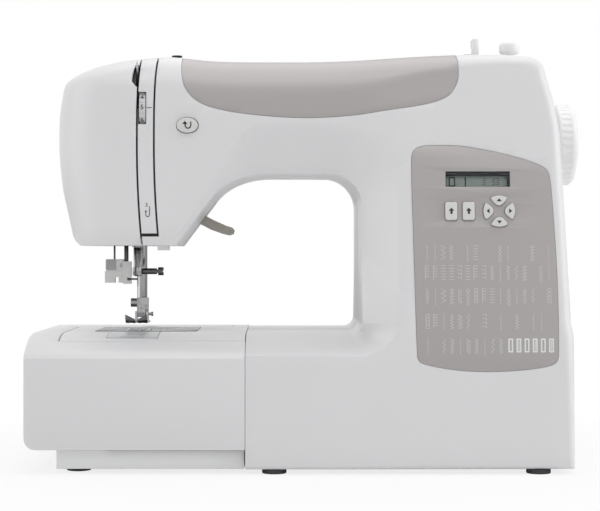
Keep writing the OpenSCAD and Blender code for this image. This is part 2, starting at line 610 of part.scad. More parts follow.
module lower_shaft() color(steel) {
    rod_x(needle_x + pinion_r, belt_x + 10, hook_y, lower_z, shaft_r);
    translate([needle_x + pinion_r, hook_y, lower_z]) rotate([0, -90, 0]) bevel(drive_teeth, gear_r,
        pinion_r, 1.3, 1, 2.2);
    rod_x(needle_x + pinion_r, needle_x + pinion_r + 4, hook_y, lower_z, 8);
    tooth_pulley(belt_x, hook_y, lower_z);
    tube_x(-82.9, -79, hook_y, lower_z, 7, shaft_r - 0.1);
    tube_x(-101, -97.1, hook_y, lower_z, 7, shaft_r - 0.1);
}
module tooth_pulley(x, y, z) translate([x - 6, y, z]) rotate([0, 90, 0]) {
    difference() {
        cylinder(r = 11.6, h = 12);
        for (i = [0 : 17]) rotate(20 * i) translate([11.6, 0, 6]) cube([1.6, 1.6, 13], center = true);
        translate([0, 0, -1]) cylinder(r = shaft_r - 0.1, h = 14);
    }
    for (e = [-1.2, 12]) translate([0, 0, e]) difference() { cylinder(r = 14, h = 1.2);
        translate([0, 0, -1]) cylinder(r = shaft_r - 0.1, h = 4); }
}
module belt_loop(x0, x1, a, ra, b, rb, t) difference() {
    hull() { rod_x(x0, x1, a[0], a[1], ra + t); rod_x(x0, x1, b[0], b[1], rb + t); }
    hull() { rod_x(x0 - 1, x1 + 1, a[0], a[1], ra); rod_x(x0 - 1, x1 + 1, b[0], b[1], rb); }
}
module timing_belt() color(dark) belt_loop(belt_x - 5, belt_x + 5, [shaft_y, shaft_z], 11.7,
    [hook_y, lower_z], 11.7, 1.5);

// ---- frame, upper shaft, motor ----
lugs_x = [-104, 30, 140];
low_lugs_x = [-90, 40];
module main_frame() color([0.6, 0.61, 0.63]) difference() {
    union() {
        box([-118, 14, 218], [150, 24, 246]);
        box([46, 14, 10], [84, 24, 246]);
        box([-166, 14, 20], [84, 24, 60]);
        box([-160, 8, table_z - 0.6], [-140, 30, 20]);
        box([30, -66, base_z + wall], [160, 70, 10]);
        box([84, 14, 92], [94, 62, 150]);
        box([-118, 14, 170], [-106, 24, 262]);
        for (x = lugs_x) {
            box([x - 6, shaft_y, shaft_z - 9], [x + 6, 14, shaft_z + 9]);
            rod_x(x - 6, x + 6, shaft_y, shaft_z, 11);
        }
        for (x = low_lugs_x) {
            box([x - 6, hook_y, lower_z - 8], [x + 6, 14, lower_z + 8]);
            rod_x(x - 6, x + 6, hook_y, lower_z, 10);
        }
        box([needle_x - 7, hook_y, 59], [needle_x + 7, 14, 67]);
        rod_z(59, 67, needle_x, hook_y, 9);
        box([needle_x - 6, 14, 59], [needle_x + 6, 24, 84]);
        box([-134, -6.5, 262], [-106, 24, 271]);
        box([-131, -4, 172], [-106, 14, 181]);
        box([-110, -54, 257], [-106, 14, 271]);
        box([-110, -54, 250], [-106, -44, 262]);
        for (p = plate_screws_at) {
            box([p[0] - 4, 14, 58], [p[0] + 4, 28, bed_top - 1.7]);
        }
        box([118, 6, 240], [142, 24, 262]);
        box([-152, 6, 172], [-106, 14, 178]);
        box([-152, thread_y - 4, 172], [-139.5, 14, 178]);
        box([-152, thread_y - 4, 172], [-132.4, -22, 178]);
        box([-106, 14, 170], [-97, 24, 262]);
        rod_y(23, hub_y + 2.5, lifter_x, lifter_z, 2);
        }
    for (x = lugs_x) rod_x(x - 9, x + 9, shaft_y, shaft_z, 7);
    for (x = low_lugs_x) rod_x(x - 9, x + 9, hook_y, lower_z, 7);
    rod_z(50, 70, needle_x, hook_y, 5);
    rod_z(160, 280, -125, presser_y, presser_bar_d / 2 + running);
    rod_y(-8, -2.2, needle_x, 267, 2.05);
    rod_x(-111, -105, -24, 262, 2);
    rod_x(-111, -105, dial_y, dial_z, 2);
    for (p = plate_screws_at) rod_z(80, 99, p[0], p[1], 1.5);
    rod_x(80, 96, 35, 120, 8);
    box([-123, 12, 192], [-104, 26, 212]);
    rod_z(160, 190, -135.2, thread_y, 1.65);
    rod_z(160, 190, -143.8, thread_y, 0.75);
}
presser_y = 2;
module shaft_bushes() color([0.75, 0.6, 0.35]) {
    for (x = lugs_x) tube_x(x - 7, x + 7, shaft_y, shaft_z, 7, shaft_r + running);
    for (x = low_lugs_x) tube_x(x - 7, x + 7, hook_y, lower_z, 7, shaft_r + running);
    tube_z(59, 67, needle_x, hook_y, 5, 3 + running);
}
module upper_shaft() color(steel) {
    difference() {
        union() {
            rod_x(-119.5, 196, shaft_y, shaft_z, shaft_r);
            rod_x(-119.5, -112.6, shaft_y, shaft_z, 20);
            rod_x(-120.5, -119.5, shaft_y, shaft_z + crank_r, 3);
        }
        translate([-116, shaft_y, shaft_z]) rotate([0, 90, 0]) linear_extrude(9, center = true)
            polygon([[-4, -22], [-22, -22], [-22, 22], [-4, 22], [-13, 9], [-13, -9]]);
    }
    tooth_pulley(belt_x, shaft_y, shaft_z);
    difference() {
        rod_x(drive_x - 5, drive_x + 5, shaft_y, shaft_z, 31);
        translate([drive_x, shaft_y, shaft_z]) rotate([0, 90, 0]) rotate_extrude()
            polygon([[28.5, -2.6], [33, -3.6], [33, 3.6], [28.5, 2.6]]);
        for (a = [0 : 60 : 300]) translate([drive_x - 6, shaft_y, shaft_z]) rotate([a, 0, 0])
            translate([0, 0, 17]) rotate([0, 90, 0]) cylinder(r = 6, h = 12);
    }
}
module handwheel() color(white) translate([table_left - wheel_w - 3, shaft_y, shaft_z])
    rotate([0, 90, 0]) difference() {
    rotate_extrude($fn = 64) polygon([[shaft_r + 0.02, 0], [wheel_d / 2 - 2, 0], [wheel_d / 2, 2],
        [wheel_d / 2, wheel_w - 4],
        [wheel_d / 2 - 1.2, wheel_w - 0.5], [wheel_d / 2 - 4, wheel_w + 2], [wheel_d / 2 - 9,
            wheel_w + 3], [shaft_r + 0.02, wheel_w + 3]]);
    for (i = [0 : 35]) rotate(10 * i) translate([wheel_d / 2 + 0.2, 0, wheel_w / 2 - 1])
        cube([1.6, 2, wheel_w - 8], center = true);
    translate([wheel_d / 2 - 9, 0, wheel_w + 4]) sphere(r = 5, $fn = 20);
}
motor_at = [35, 120];
module motor() color([0.3, 0.3, 0.32]) {
    difference() {
        rod_x(94, 152, motor_at[0], motor_at[1], 22.5);
        rod_x(150, 153, motor_at[0], motor_at[1], 3.2);
        for (a = [0 : 45 : 315]) translate([123, motor_at[0], motor_at[1]]) rotate([a, 0, 0])
            translate([0, 0, 22.5]) cube([38, 6, 3], center = true);
    }
    rod_x(90, 94, motor_at[0], motor_at[1], 7.9);
}
module motor_pulley() color(steel) {
    rod_x(150.2, drive_x + 5, motor_at[0], motor_at[1], 3);
    difference() {
        rod_x(drive_x - 4, drive_x + 4, motor_at[0], motor_at[1], 8.5);
        translate([drive_x, motor_at[0], motor_at[1]]) rotate([0, 90, 0]) rotate_extrude()
            polygon([[6, -2.6], [10, -3.4], [10, 3.4], [6, 2.6]]);
    }
}
module motor_belt() color(dark) belt_loop(drive_x - 2, drive_x + 2, [shaft_y, shaft_z], 28.6, motor_at,
    6.1, 2.4);

// ---- needle bar, take-up lever and presser ----
module needle_bar_frame() color([0.6, 0.61, 0.63]) {
    difference() {
        union() {
            box([needle_x - 4, -10.5, 165], [needle_x + 2.6, -7, 273]);
            box([needle_x - 5, -21.5, 238], [needle_x + 2.7, -10.5, 245]);
            box([needle_x - 5, -21.5, 165], [needle_x + 5, -10.5, 171]);
            rod_z(157.4, 165, needle_x, shaft_y, 4.1);
        }
        rod_z(150, 280, needle_x, shaft_y, needle_bar_d / 2 + running);
    }
    rod_y(-7, -2.6, needle_x, 267, 2);
}
module needle_bar() color(steel) {
    difference() {
        translate([needle_x, shaft_y, 0]) rotate_extrude() polygon([[0, 136.1], [2.4, 136.1],
            [needle_bar_d / 2, 136.7], [3.95, 136.7],
            [3.95, 142.7], [needle_bar_d / 2, 142.7], [needle_bar_d / 2, 258], [0, 258]]);
        rod_z(130, 150, needle_x, shaft_y - 0.5, 0.62);
        rod_x(needle_x, needle_x + 12, shaft_y - 0.5, 139.8, 1.2);
    }
    // connecting rod on its pin
    rod_x(needle_x, -121.8, shaft_y, shaft_z + crank_r - 40, 2.2);
    difference() {
        union() {
            box([-124.55, shaft_y - 3, 208.3], [-121.9, shaft_y + 3, 248.3]);
            rod_x(-124.55, -121.9, shaft_y, shaft_z + crank_r, 6);
            rod_x(-124.55, -121.9, shaft_y, shaft_z + crank_r - 40, 5);
        }
        rod_x(-126, -121, shaft_y, shaft_z + crank_r, 3.2);
        rod_x(-126, -121, shaft_y, shaft_z + crank_r - 40, 2.1);
    }
}
module needle_clamp_screw() color(steel) {
    rod_x(needle_x + 0.7, -112.5, shaft_y - 0.5, 139.8, 1.2);
    difference() {
        rod_x(-123.5, -113.4, shaft_y - 0.5, 139.8, 2.2);
        rod_x(-125, -111, shaft_y - 0.5, 139.8, 1.19);
    }
    difference() {
        rod_x(-112.5, -108.6, shaft_y - 0.5, 139.8, 3);
        for (a = [0 : 30 : 330]) translate([-110.5, shaft_y - 0.5, 139.8]) rotate([a, 0, 0])
            translate([0, 0, 3.3]) cube([5, 0.5, 0.6], center = true);
        box([-109.2, shaft_y - 4, 139.3], [-108, shaft_y + 4, 140.3]);
    }
}
module needle() color(steel) translate([needle_x, shaft_y - 0.5, 0]) rotate_extrude($fn = 16)
    polygon([[0, 106], [0.4, 110.5], [0.42, 127.5], [0.6, 130.5], [0.6, 144.5], [0, 145]]);
module take_up_lever() color(steel) {
    difference() {
        union() {
            rod_x(-124.3, -123.5, -24, 262, 5);
            translate([-124.3, -24, 262]) rotate([90, 0, 90]) linear_extrude(0.8)
                polygon([[2, 4.5], [-14, 12], [-30, 22], [-38.5, 27], [-41.5, 25.5], [-41, 21.5],
                    [-36, 18], [-31, 14], [-14, 3], [-3, -4.5]]);
            rod_x(-123.5, -119, -24, 262, 4);
        }
        rod_x(-125, -118, -24, 262, 2.05);
        rod_x(-125, -118, -63.2, 285, 1);
    }
}
module presser_bar() color(steel) {
    rod_z(112, 276, -125, presser_y, presser_bar_d / 2);
    difference() {
        union() {
            rod_z(196, 206, -125, presser_y, 5);
            box([-121.5, presser_y - 2, 198], [-115, presser_y + 29, 204]);
            box([-121.5, presser_y + 25, 198], [-105, presser_y + 29, 204]);
        }
        rod_z(190, 210, -125, presser_y, presser_bar_d / 2 - 0.1);
    }
}
module presser_spring() color(steel) {
    for (i = [0 : 9]) tube_z(206 + i * 6, 206 + i * 6 + 2, -125, presser_y, 4.6, 3.2);
    for (i = [0 : 8]) box([-125 - 1, presser_y + (i % 2 == 0 ? -4.4 : 3.3), 207 + i * 6],
        [-125 + 1, presser_y + (i % 2 == 0 ? -3.3 : 4.4), 213 + i * 6]);
}
module presser_lifter() color([0.82, 0.8, 0.76]) {
    difference() {
        union() {
            rod_y(hub_y - 3, hub_y + 2, lifter_x, lifter_z, 7);
            translate([0, hub_y + 2, 0]) rotate([90, 0, 0]) linear_extrude(5) polygon([
                [-108, 191], [-96, 188.6], [-84, 184], [-72, 178.5], [-60, 174], [-54.6, 172.6],
                    [-52.6, 170.4], [-53.4, 167.6], [-57, 166.6],
                [-64, 168], [-74, 171], [-84, 175.4], [-96, 179.5], [-108, 180]]);
        }
        rod_y(hub_y - 5, hub_y + 4, lifter_x, lifter_z, 2.05);
    }
    rod_y(hub_y - 3, hub_y + 2, lifter_x + 4, lifter_z + 5, 4);
}
pin_y = shaft_y + 12;
pin_z = plate_top + foot_lift + 6;
module foot_holder() color(steel) {
    difference() {
        union() {
            box([-129.4, presser_y - 4, 110], [-121.2, presser_y + 4, 120]);
            box([-128, pin_y - 3.5, pin_z - 2.2], [-123, presser_y + 3, 112]);
        }
        rod_z(100, 130, -125, presser_y, presser_bar_d / 2);
        rod_x(-132, -120, pin_y, pin_z, 1.05);
        rod_x(-131, -125, presser_y, 116.3, 1.5);
    }
    rod_x(-129.5, -128, presser_y, 116.3, 1.5);
    difference() {
        rod_x(-134.2, -129.4, presser_y, 116.3, 3.3);
        for (a = [0 : 30 : 330]) translate([-132.5, presser_y, 116.3]) rotate([a, 0, 0])
            translate([0, 0, 3.4]) cube([8, 0.5, 0.7], center = true);
    }
}
module presser_foot() color(steel) {
    sole = plate_top + foot_lift;
    difference() {
        union() {
            along_x(needle_x - 8, needle_x + 8) polygon([[shaft_y - 14, sole + 6.5], [shaft_y - 15.2,
                sole + 5.6], [shaft_y - 13.4, sole + 2.6], [shaft_y - 9, sole], [shaft_y + 15, sole],
                [shaft_y + 15, sole + 1.3], [shaft_y - 8.4, sole + 1.4], [shaft_y - 12.2, sole + 3.6]]);
            for (x = [-130.4, -122.4]) box([x, pin_y - 3.5, sole + 1], [x + 1.8, pin_y + 3, sole + 8]);
        }
        hull() for (x = [-4.2, 4.2]) rod_z(90, 110, needle_x + x, shaft_y - 0.5, 1.6);
        box([needle_x - 0.8, shaft_y - 20, 90], [needle_x + 0.8, shaft_y, 120]);
        for (x = [-5.3, 3.1]) box([needle_x + x, shaft_y - 20, 90], [needle_x + x + 2.2, shaft_y - 6,
            sole + 0.5]);
    }
    rod_x(-130, -118.4, pin_y, pin_z, 1);
    rod_x(-118.6, -117.2, pin_y, pin_z, 1.6);
}
thread_y = -24.2;
module needle_threader() color([0.93, 0.93, 0.93]) {
    rod_z(146, 204, -135.2, thread_y, 1.6);
    rod_z(148, 204, -143.8, thread_y, 0.7);
    difference() {
        union() {
            box([-149.4, thread_y - 3.4, 139.6], [-136.6, thread_y + 3.4, 148.7]);
            box([-150.5, thread_y - 3.8, 131.5], [-136.6, thread_y + 3, 140.1]);
            box([-137.4, thread_y - 3.8, 130.7], [-131.5, thread_y + 3.4, 147]);
        }
        box([-143.1, thread_y - 6, 130], [-140.6, thread_y + 6, 135.6]);
        box([-139.4, thread_y - 5, 142.8], [-137.8, thread_y - 2, 146.2]);
        rod_z(129, 135.4, -133, thread_y, 1.15);
        box([-134.3, thread_y - 5, 133.2], [-130, thread_y + 5, 135.4]);
    }
}
module threader_hook() color(steel) {
    rod_z(130.9, 135.2, -133, thread_y, 1.1);
    translate([-133, thread_y, 133.5]) rotate(-37) box([0, -0.45, 0], [8, 0.45, 1.5]);
}
module winder_carrier() color([0.9, 0.9, 0.9]) difference() {
    union() {
        box([spindle_x - 8, spindle_y - 7, 262.05], [spindle_x + 8, spindle_y + 8, 270]);
        rod_z(270, 301.4, spindle_x, spindle_y, 5);
        box([spindle_x - 8.4, spindle_y - 1.4, 301.4 - 6 + 5], [spindle_x - 2, spindle_y + 1.4, 303]);
    }
    rod_z(255, 310, spindle_x, spindle_y, 2);
}
module winder_spindle() color(white) {
    rod_z(264, 303.2, spindle_x, spindle_y, 1.9);
    rod_z(303.2, 312, spindle_x, spindle_y, 2.7);
    translate([spindle_x, spindle_y, 312]) cylinder(r1 = 2.7, r2 = 1.8, h = 3.6);
    box([spindle_x - 4, spindle_y - 0.6, 304], [spindle_x - 2, spindle_y + 0.6, 310]);
}
module winder_stop() color(white) {
    translate([stop_at[0], stop_at[1], 0]) rotate_extrude() polygon([[0, 288], [1.9, 288], [1.9, 301.4],
        [7, 301.4], [7.6, 302.6], [7.6, 307.5], [6.6, 309.3], [4, 310.4], [0, 310.5]]);
}
module winding_tension() color(dark) {
    disc_z = top_z(guide_at[0]);
    translate([guide_at[0], guide_at[1], 0]) rotate_extrude() polygon([[0, 288], [1.5, 288],
        [1.5, disc_z + 0.2], [4, disc_z + 0.2], [4, disc_z + 1.1], [2.2, disc_z + 1.1], [2.2, disc_z + 1.8],
        [4, disc_z + 1.8], [4, disc_z + 2.7], [0, disc_z + 3]]);
}
module spool_pin() color(white) {
    rod_x(rack[0] - 2, 0, 28, spool_z, 2);
    rod_x(rack[0], rack[0] + 4, 28, spool_z, 8);
    difference() {
        rod_x(-14, -10, 28, spool_z, 10.5);
        rod_x(-15, -8, 28, spool_z, 2);
    }
}
module carry_handle() color(white) {
    for (x = [handle_x[0], handle_x[1] - 6]) difference() {
        box([x, 16.4, handle_z - 2.5], [x + 6, 39, handle_z + 2.5]);
        rod_x(x - 1, x + 7, 19, handle_z, 2);
    }
    box([handle_x[0], 33, handle_z - 2.5], [handle_x[1], 41, handle_z + 4.5]);
    rod_x(handle_x[0] - 3.6, handle_x[0] + 6, 19, handle_z, 2.5);
    rod_x(handle_x[1] - 6, handle_x[1] + 3.6, 19, handle_z, 2.5);
}
module power_inlet() color(dark) {
    difference() {
        box([168, inlet_y[0] + 0.3, 40.3], [181.6, inlet_y[1] - 0.3, 62]);
        box([172, inlet_y[0] + 3, 44], [190, inlet_y[1] - 3, 59]);
    }
    for (y = [34, 40, 46]) box([168.5, y - 1, 50], [179, y + 1, 54]);
    difference() {
        box([168, inlet_y[0] + 0.3, 62], [181.6, inlet_y[1] - 0.3, 83.7]);
        box([171, inlet_y[0] + 3, 64.5], [190, inlet_y[1] - 3, 81.5]);
    }
}
module power_switch() color([0.1, 0.1, 0.1]) {
    difference() {
        translate([0, inlet_y[1] - 3.3, 0]) rotate([90, 0, 0]) linear_extrude(inlet_y[1] - inlet_y[0] - 6.6)
            polygon([[174, 65.8], [182, 65.4], [180.6, 73], [182, 80.6], [174, 80.2]]);
        rod_y(0, 80, 176, 73, 1);
    }
}
module circuit_board() color([0.1, 0.35, 0.2]) {
    box([76, board_y, 76], [165, board_y + 1.6, 219]);
    for (z = [90 : 16 : 160]) box([84, board_y + 1.6, z], [100, board_y + 5, z + 7]);
    for (x = [112 : 14 : 150]) rod_y(board_y + 1.6, board_y + 11, x, 100, 5);
    box([112, board_y + 1.6, 125], [140, board_y + 4, 150]);
    for (x = [80, 161], z = [82, 165]) rod_y(column_y(z) + wall + 0.8, board_y, x, z, 2.5);
}

front_cover();
rear_cover();
face_cover();
threading_strip();
arm_panel();
control_panel();
display_window();
display_module();
left_key();
right_key();
up_arrow_key();
down_arrow_key();
left_arrow_key();
right_arrow_key();
reverse_button();
tension_dial();
tension_discs();
lamp();
base_tray();
rubber_feet();
free_arm_cover();
extension_table();
accessory_lid();
needle_plate();
plate_screws();
bobbin_cover();
feed_dog();
rotary_hook();
bobbin_case();
bobbin();
main_frame();
shaft_bushes();
upper_shaft();
handwheel();
lower_shaft();
timing_belt();
motor();
motor_pulley();
motor_belt();
needle_bar_frame();
needle_bar();
needle_clamp_screw();
needle();
take_up_lever();
presser_bar();
presser_spring();
presser_lifter();
foot_holder();
presser_foot();
needle_threader();
threader_hook();
winder_carrier();
winder_spindle();
winder_stop();
winding_tension();
spool_pin();
carry_handle();
power_inlet();
power_switch();
circuit_board();
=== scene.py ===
import json
import math
import bpy
import bmesh
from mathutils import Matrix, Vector

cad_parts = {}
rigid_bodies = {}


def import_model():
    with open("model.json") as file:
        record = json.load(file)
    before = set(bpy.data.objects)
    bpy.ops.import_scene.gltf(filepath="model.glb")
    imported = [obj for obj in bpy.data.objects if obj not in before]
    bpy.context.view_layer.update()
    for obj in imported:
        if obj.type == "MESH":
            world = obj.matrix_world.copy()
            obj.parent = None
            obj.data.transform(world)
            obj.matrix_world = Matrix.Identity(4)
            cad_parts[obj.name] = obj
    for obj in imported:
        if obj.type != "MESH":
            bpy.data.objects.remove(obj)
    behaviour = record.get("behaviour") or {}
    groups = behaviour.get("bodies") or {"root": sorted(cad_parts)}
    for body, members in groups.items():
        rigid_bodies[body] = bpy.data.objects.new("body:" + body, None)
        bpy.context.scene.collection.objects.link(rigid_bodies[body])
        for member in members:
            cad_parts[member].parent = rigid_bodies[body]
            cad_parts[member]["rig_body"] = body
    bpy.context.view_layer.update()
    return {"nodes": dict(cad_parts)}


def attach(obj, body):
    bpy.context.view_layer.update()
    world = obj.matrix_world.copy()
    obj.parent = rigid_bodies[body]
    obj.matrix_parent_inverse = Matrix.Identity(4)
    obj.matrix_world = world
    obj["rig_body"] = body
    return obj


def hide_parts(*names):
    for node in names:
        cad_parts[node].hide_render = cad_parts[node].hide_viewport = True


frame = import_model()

scene = bpy.context.scene
scene.view_settings.view_transform = "Standard"


# ---------------------------------------------------------------------------
# The studio: a pale floor, a white surround and soft boxes above and beside
# the machine. The camera stands in front of it, level with its throat.
# ---------------------------------------------------------------------------
def add(tree, kind, **settings):
    # a node of this kind; Capital names are its inputs, with _ for a space
    node = tree.nodes.new(kind)
    for name, value in settings.items():
        if name[0].isupper():
            node.inputs[name.replace("_", " ")].default_value = value
        else:
            setattr(node, name, value)
    return node


def wire(tree, *pairs):
    for start, end in pairs:
        tree.links.new(start, end)


lens = bpy.data.cameras.new("camera")
lens.lens = 95.7
lens.sensor_width = 36
lens.shift_x = 0.0333
lens.shift_y = -0.0008
camera = bpy.data.objects.new("camera", lens)
camera.location = (-0.023, -1.189, 0.1517)
camera.rotation_euler = (math.radians(90), 0, 0)
scene.collection.objects.link(camera)
scene.camera = camera

world = bpy.data.worlds.new("surround")
scene.world = world
world.use_nodes = True
tree = world.node_tree
tree.nodes.clear()
out = add(tree, "ShaderNodeOutputWorld")
seen = add(tree, "ShaderNodeBackground", Color=(1, 1, 1, 1), Strength=1.0)
lit = add(tree, "ShaderNodeBackground", Color=(0.97, 0.98, 1, 1), Strength=0.4)
path = add(tree, "ShaderNodeLightPath")
glossy = add(tree, "ShaderNodeMath", operation="MAXIMUM")
through = add(tree, "ShaderNodeMath", operation="MAXIMUM")
pick = add(tree, "ShaderNodeMixShader")
wire(tree,
     (path.outputs["Is Camera Ray"], glossy.inputs[0]),
     (path.outputs["Is Glossy Ray"], glossy.inputs[1]),
     (glossy.outputs[0], through.inputs[0]),
     (path.outputs["Is Transmission Ray"], through.inputs[1]),
     (through.outputs[0], pick.inputs["Fac"]),
     (lit.outputs[0], pick.inputs[1]),
     (seen.outputs[0], pick.inputs[2]),
     (pick.outputs[0], out.inputs["Surface"]))

for name, place, aim, wide, tall, power in (
        ("soft_box_top", (0.1, 0.1, 1.5), (0, 0, 0.1), 1.6, 1.2, 8.5),
        ("soft_box_left", (-1.4, -0.3, 0.6), (0, 0, 0.12), 1.0, 1.2, 3.5),
        ("soft_box_right", (1.5, -0.2, 0.6), (0, 0, 0.15), 0.8, 1.2, 7.5),
        ("soft_box_front", (-0.25, -1.3, 1.75), (0, 0, 0.12), 1.4, 1.0, 7)):
    light = bpy.data.lights.new(name, "AREA")
    light.shape = "RECTANGLE"
    light.size = wide
    light.size_y = tall
    light.energy = power
    soft_box = bpy.data.objects.new(name, light)
    soft_box.location = place
    soft_box.rotation_euler = (Vector(aim) - Vector(place)).to_track_quat("-Z", "Y").to_euler()
    scene.collection.objects.link(soft_box)

floor_mesh = bpy.data.meshes.new("floor")
floor_mesh.from_pydata([(-8, -3, 0), (8, -3, 0), (8, 12, 0), (-8, 12, 0)], [], [(0, 1, 2, 3)])
floor = bpy.data.objects.new("floor", floor_mesh)
scene.collection.objects.link(floor)
pale = bpy.data.materials.new("pale_floor")
pale.use_nodes = True
tree = pale.node_tree
tree.nodes.clear()
out = add(tree, "ShaderNodeOutputMaterial")
matt = add(tree, "ShaderNodeBsdfDiffuse", Color=(0.95, 0.95, 0.95, 1))
glow = add(tree, "ShaderNodeEmission", Strength=1.0)
path = add(tree, "ShaderNodeLightPath")
where = add(tree, "ShaderNodeTexCoord")
away = add(tree, "ShaderNodeVectorMath", operation="LENGTH")
spread = add(tree, "ShaderNodeMapRange", From_Min=0.2, From_Max=0.42, To_Min=0.8, To_Max=1.0)
share = add(tree, "ShaderNodeMath", operation="MULTIPLY")
pick = add(tree, "ShaderNodeMixShader")
wire(tree,
     (where.outputs["Object"], away.inputs[0]),
     (away.outputs["Value"], spread.inputs["Value"]),
     (spread.outputs["Result"], share.inputs[1]),
     (path.outputs["Is Camera Ray"], share.inputs[0]),
     (share.outputs[0], pick.inputs["Fac"]),
     (matt.outputs[0], pick.inputs[1]),
     (glow.outputs[0], pick.inputs[2]),
     (pick.outputs[0], out.inputs["Surface"]))
floor_mesh.materials.append(pale)


# ---------------------------------------------------------------------------
# Front cover: a thick-walled moulding in white ABS. It is one wall carried along
# the arm, down the column and along the bed, with a sunk facet round the throat.
# It meets the rear cover on a parting line and screws to the frame.
# ---------------------------------------------------------------------------
MM = 0.001
ARM_TOP, UNDER, HEAD_UNDER, BED, LOWER_EDGE = 290.3, 210.0, 158.5, 96.0, 3.5
THROAT, THROAT_R, BED_R = 35.0, 23, 8
SEAM_X, HEAD_X, PARTING, WALL, PARTING_GAP = -47.0, -126, 4.0, 2.5, 0.3
SLOT_X, STRIP_X, SLOT_W = -124.0, -112.0, 1.4
SHAFT_Y, SHAFT_Z = -16, 232.6
HEAD_OPENING = ((-152, -32, 153), (-113, 12, 166.5))


def lerp(a, b, t):
    return a + (b - a) * t


def ease(t):
    t = min(1.0, max(0.0, t))
    return t * t * (3 - 2 * t)


def top_of(x):
    # how high the arm's top stands
    if x < -10:
        return ARM_TOP + 3.7 * ease((min(92, -10 - x) / 92) ** 3) - 0.0034 * min(0, x + 102) ** 2
    if x < 120:
        return ARM_TOP + 4.6 * ease((x + 10) / 130)
    return ARM_TOP + 4.6 - 2 * ((x - 120) / 36) ** 2


def right_of(z):
    # where the column's right side stands, leaning in at the shoulder
    return 181.5 - 0.0385 * max(0, z - 60) - 7.5 * min(1, max(0, (z - 235.3) / 45)) ** 1.6


def head_face(z):
    # the head's front, leaning back a little
    return -67 + 5 * min(1, max(0, (z - 158) / 138))


def column_face(z):
    # the column's front, leaning back from the bed up
    return -89 + 27 * min(1, max(0, (z - 80) / 216)) ** 1.3


def front_of(x, z):
    # the front all over: the head's face flows into the column's
    return lerp(head_face(z), column_face(z), max(ease((x - 20) / 48), ease((170 - z) / 60)))


def back_of(x, z):
    # the back: shallow at the head, deeper at the column and the bed
    return lerp(lerp(50, 82, ease(x / 60)), 88, 1 - ease((z - 80) / 60))


def bow(z):
    # how far the head's two slots bend to the right
    return 3.4 * ((232 - z) / 70) ** 2 if z < 232 else 1.9 * (max(0, z - 245) / 46) ** 2


def moulding_section(station, side, inset, parting):
    # one line across the wall, from the throat edge over the face to the outer edge
    (xi, zi), (xo, zo), width, recess, edge, deep, sweep = station
    length = math.hypot(xo - xi, zo - zi)
    dx, dz = (xo - xi) / length, (zo - zi) / length

    def at(k, y):
        return (xi + dx * k, y, zi + dz * k)

    def face(k):
        x, z = xi + dx * k, zi + dz * k
        return (front_of(x, z) if side < 0 else back_of(x, z)) - side * inset

    line = [at(inset, parting)]
    for i in range(7):
        t = i / 6
        k = width * lerp(t, t * t, sweep)
        line.append(at(max(inset, k), face(k) - side * recess * (1 - t)))
    for i in range(1, 9):
        k = lerp(width, length - edge, i / 9)
        line.append(at(k, face(k)))
    for i in range(9):
        a = math.radians(90 * i / 8)
        line.append(at(length - edge + (edge - inset) * math.sin(a),
                       face(length - edge) - side * deep * (1 - math.cos(a))))
    line.append(at(length - inset, parting))
    return line


def facet_width(x):
    # the sunk facet narrows towards the head
    return lerp(6, 33, ease((x + 86) / 48))


def facet_depth(x, side):
    return lerp(3, 12, ease((x + 86) / 48)) if side < 0 else 4


def arm_at(x, z, side):
    if side < 0:
        return ((x, z), (x, top_of(x)), facet_width(x), facet_depth(x, side), 26, 22, 0)
    return ((x, z), (x, top_of(x)), 5, 4, 14, 12, 0)


def outer_corner(f):
    # the outer line from the arm's top round the shoulder and down the side
    if f < 0.42:
        x = lerp(THROAT - THROAT_R, 153.5, f / 0.42)
        return x, top_of(x)
    if f < 0.58:
        a = math.radians(90 * (f - 0.42) / 0.16)
        return 153.5 + 12 * math.sin(a), 281 + 12 * math.cos(a)
    z = lerp(281, UNDER - THROAT_R, (f - 0.58) / 0.42)
    return right_of(z), z


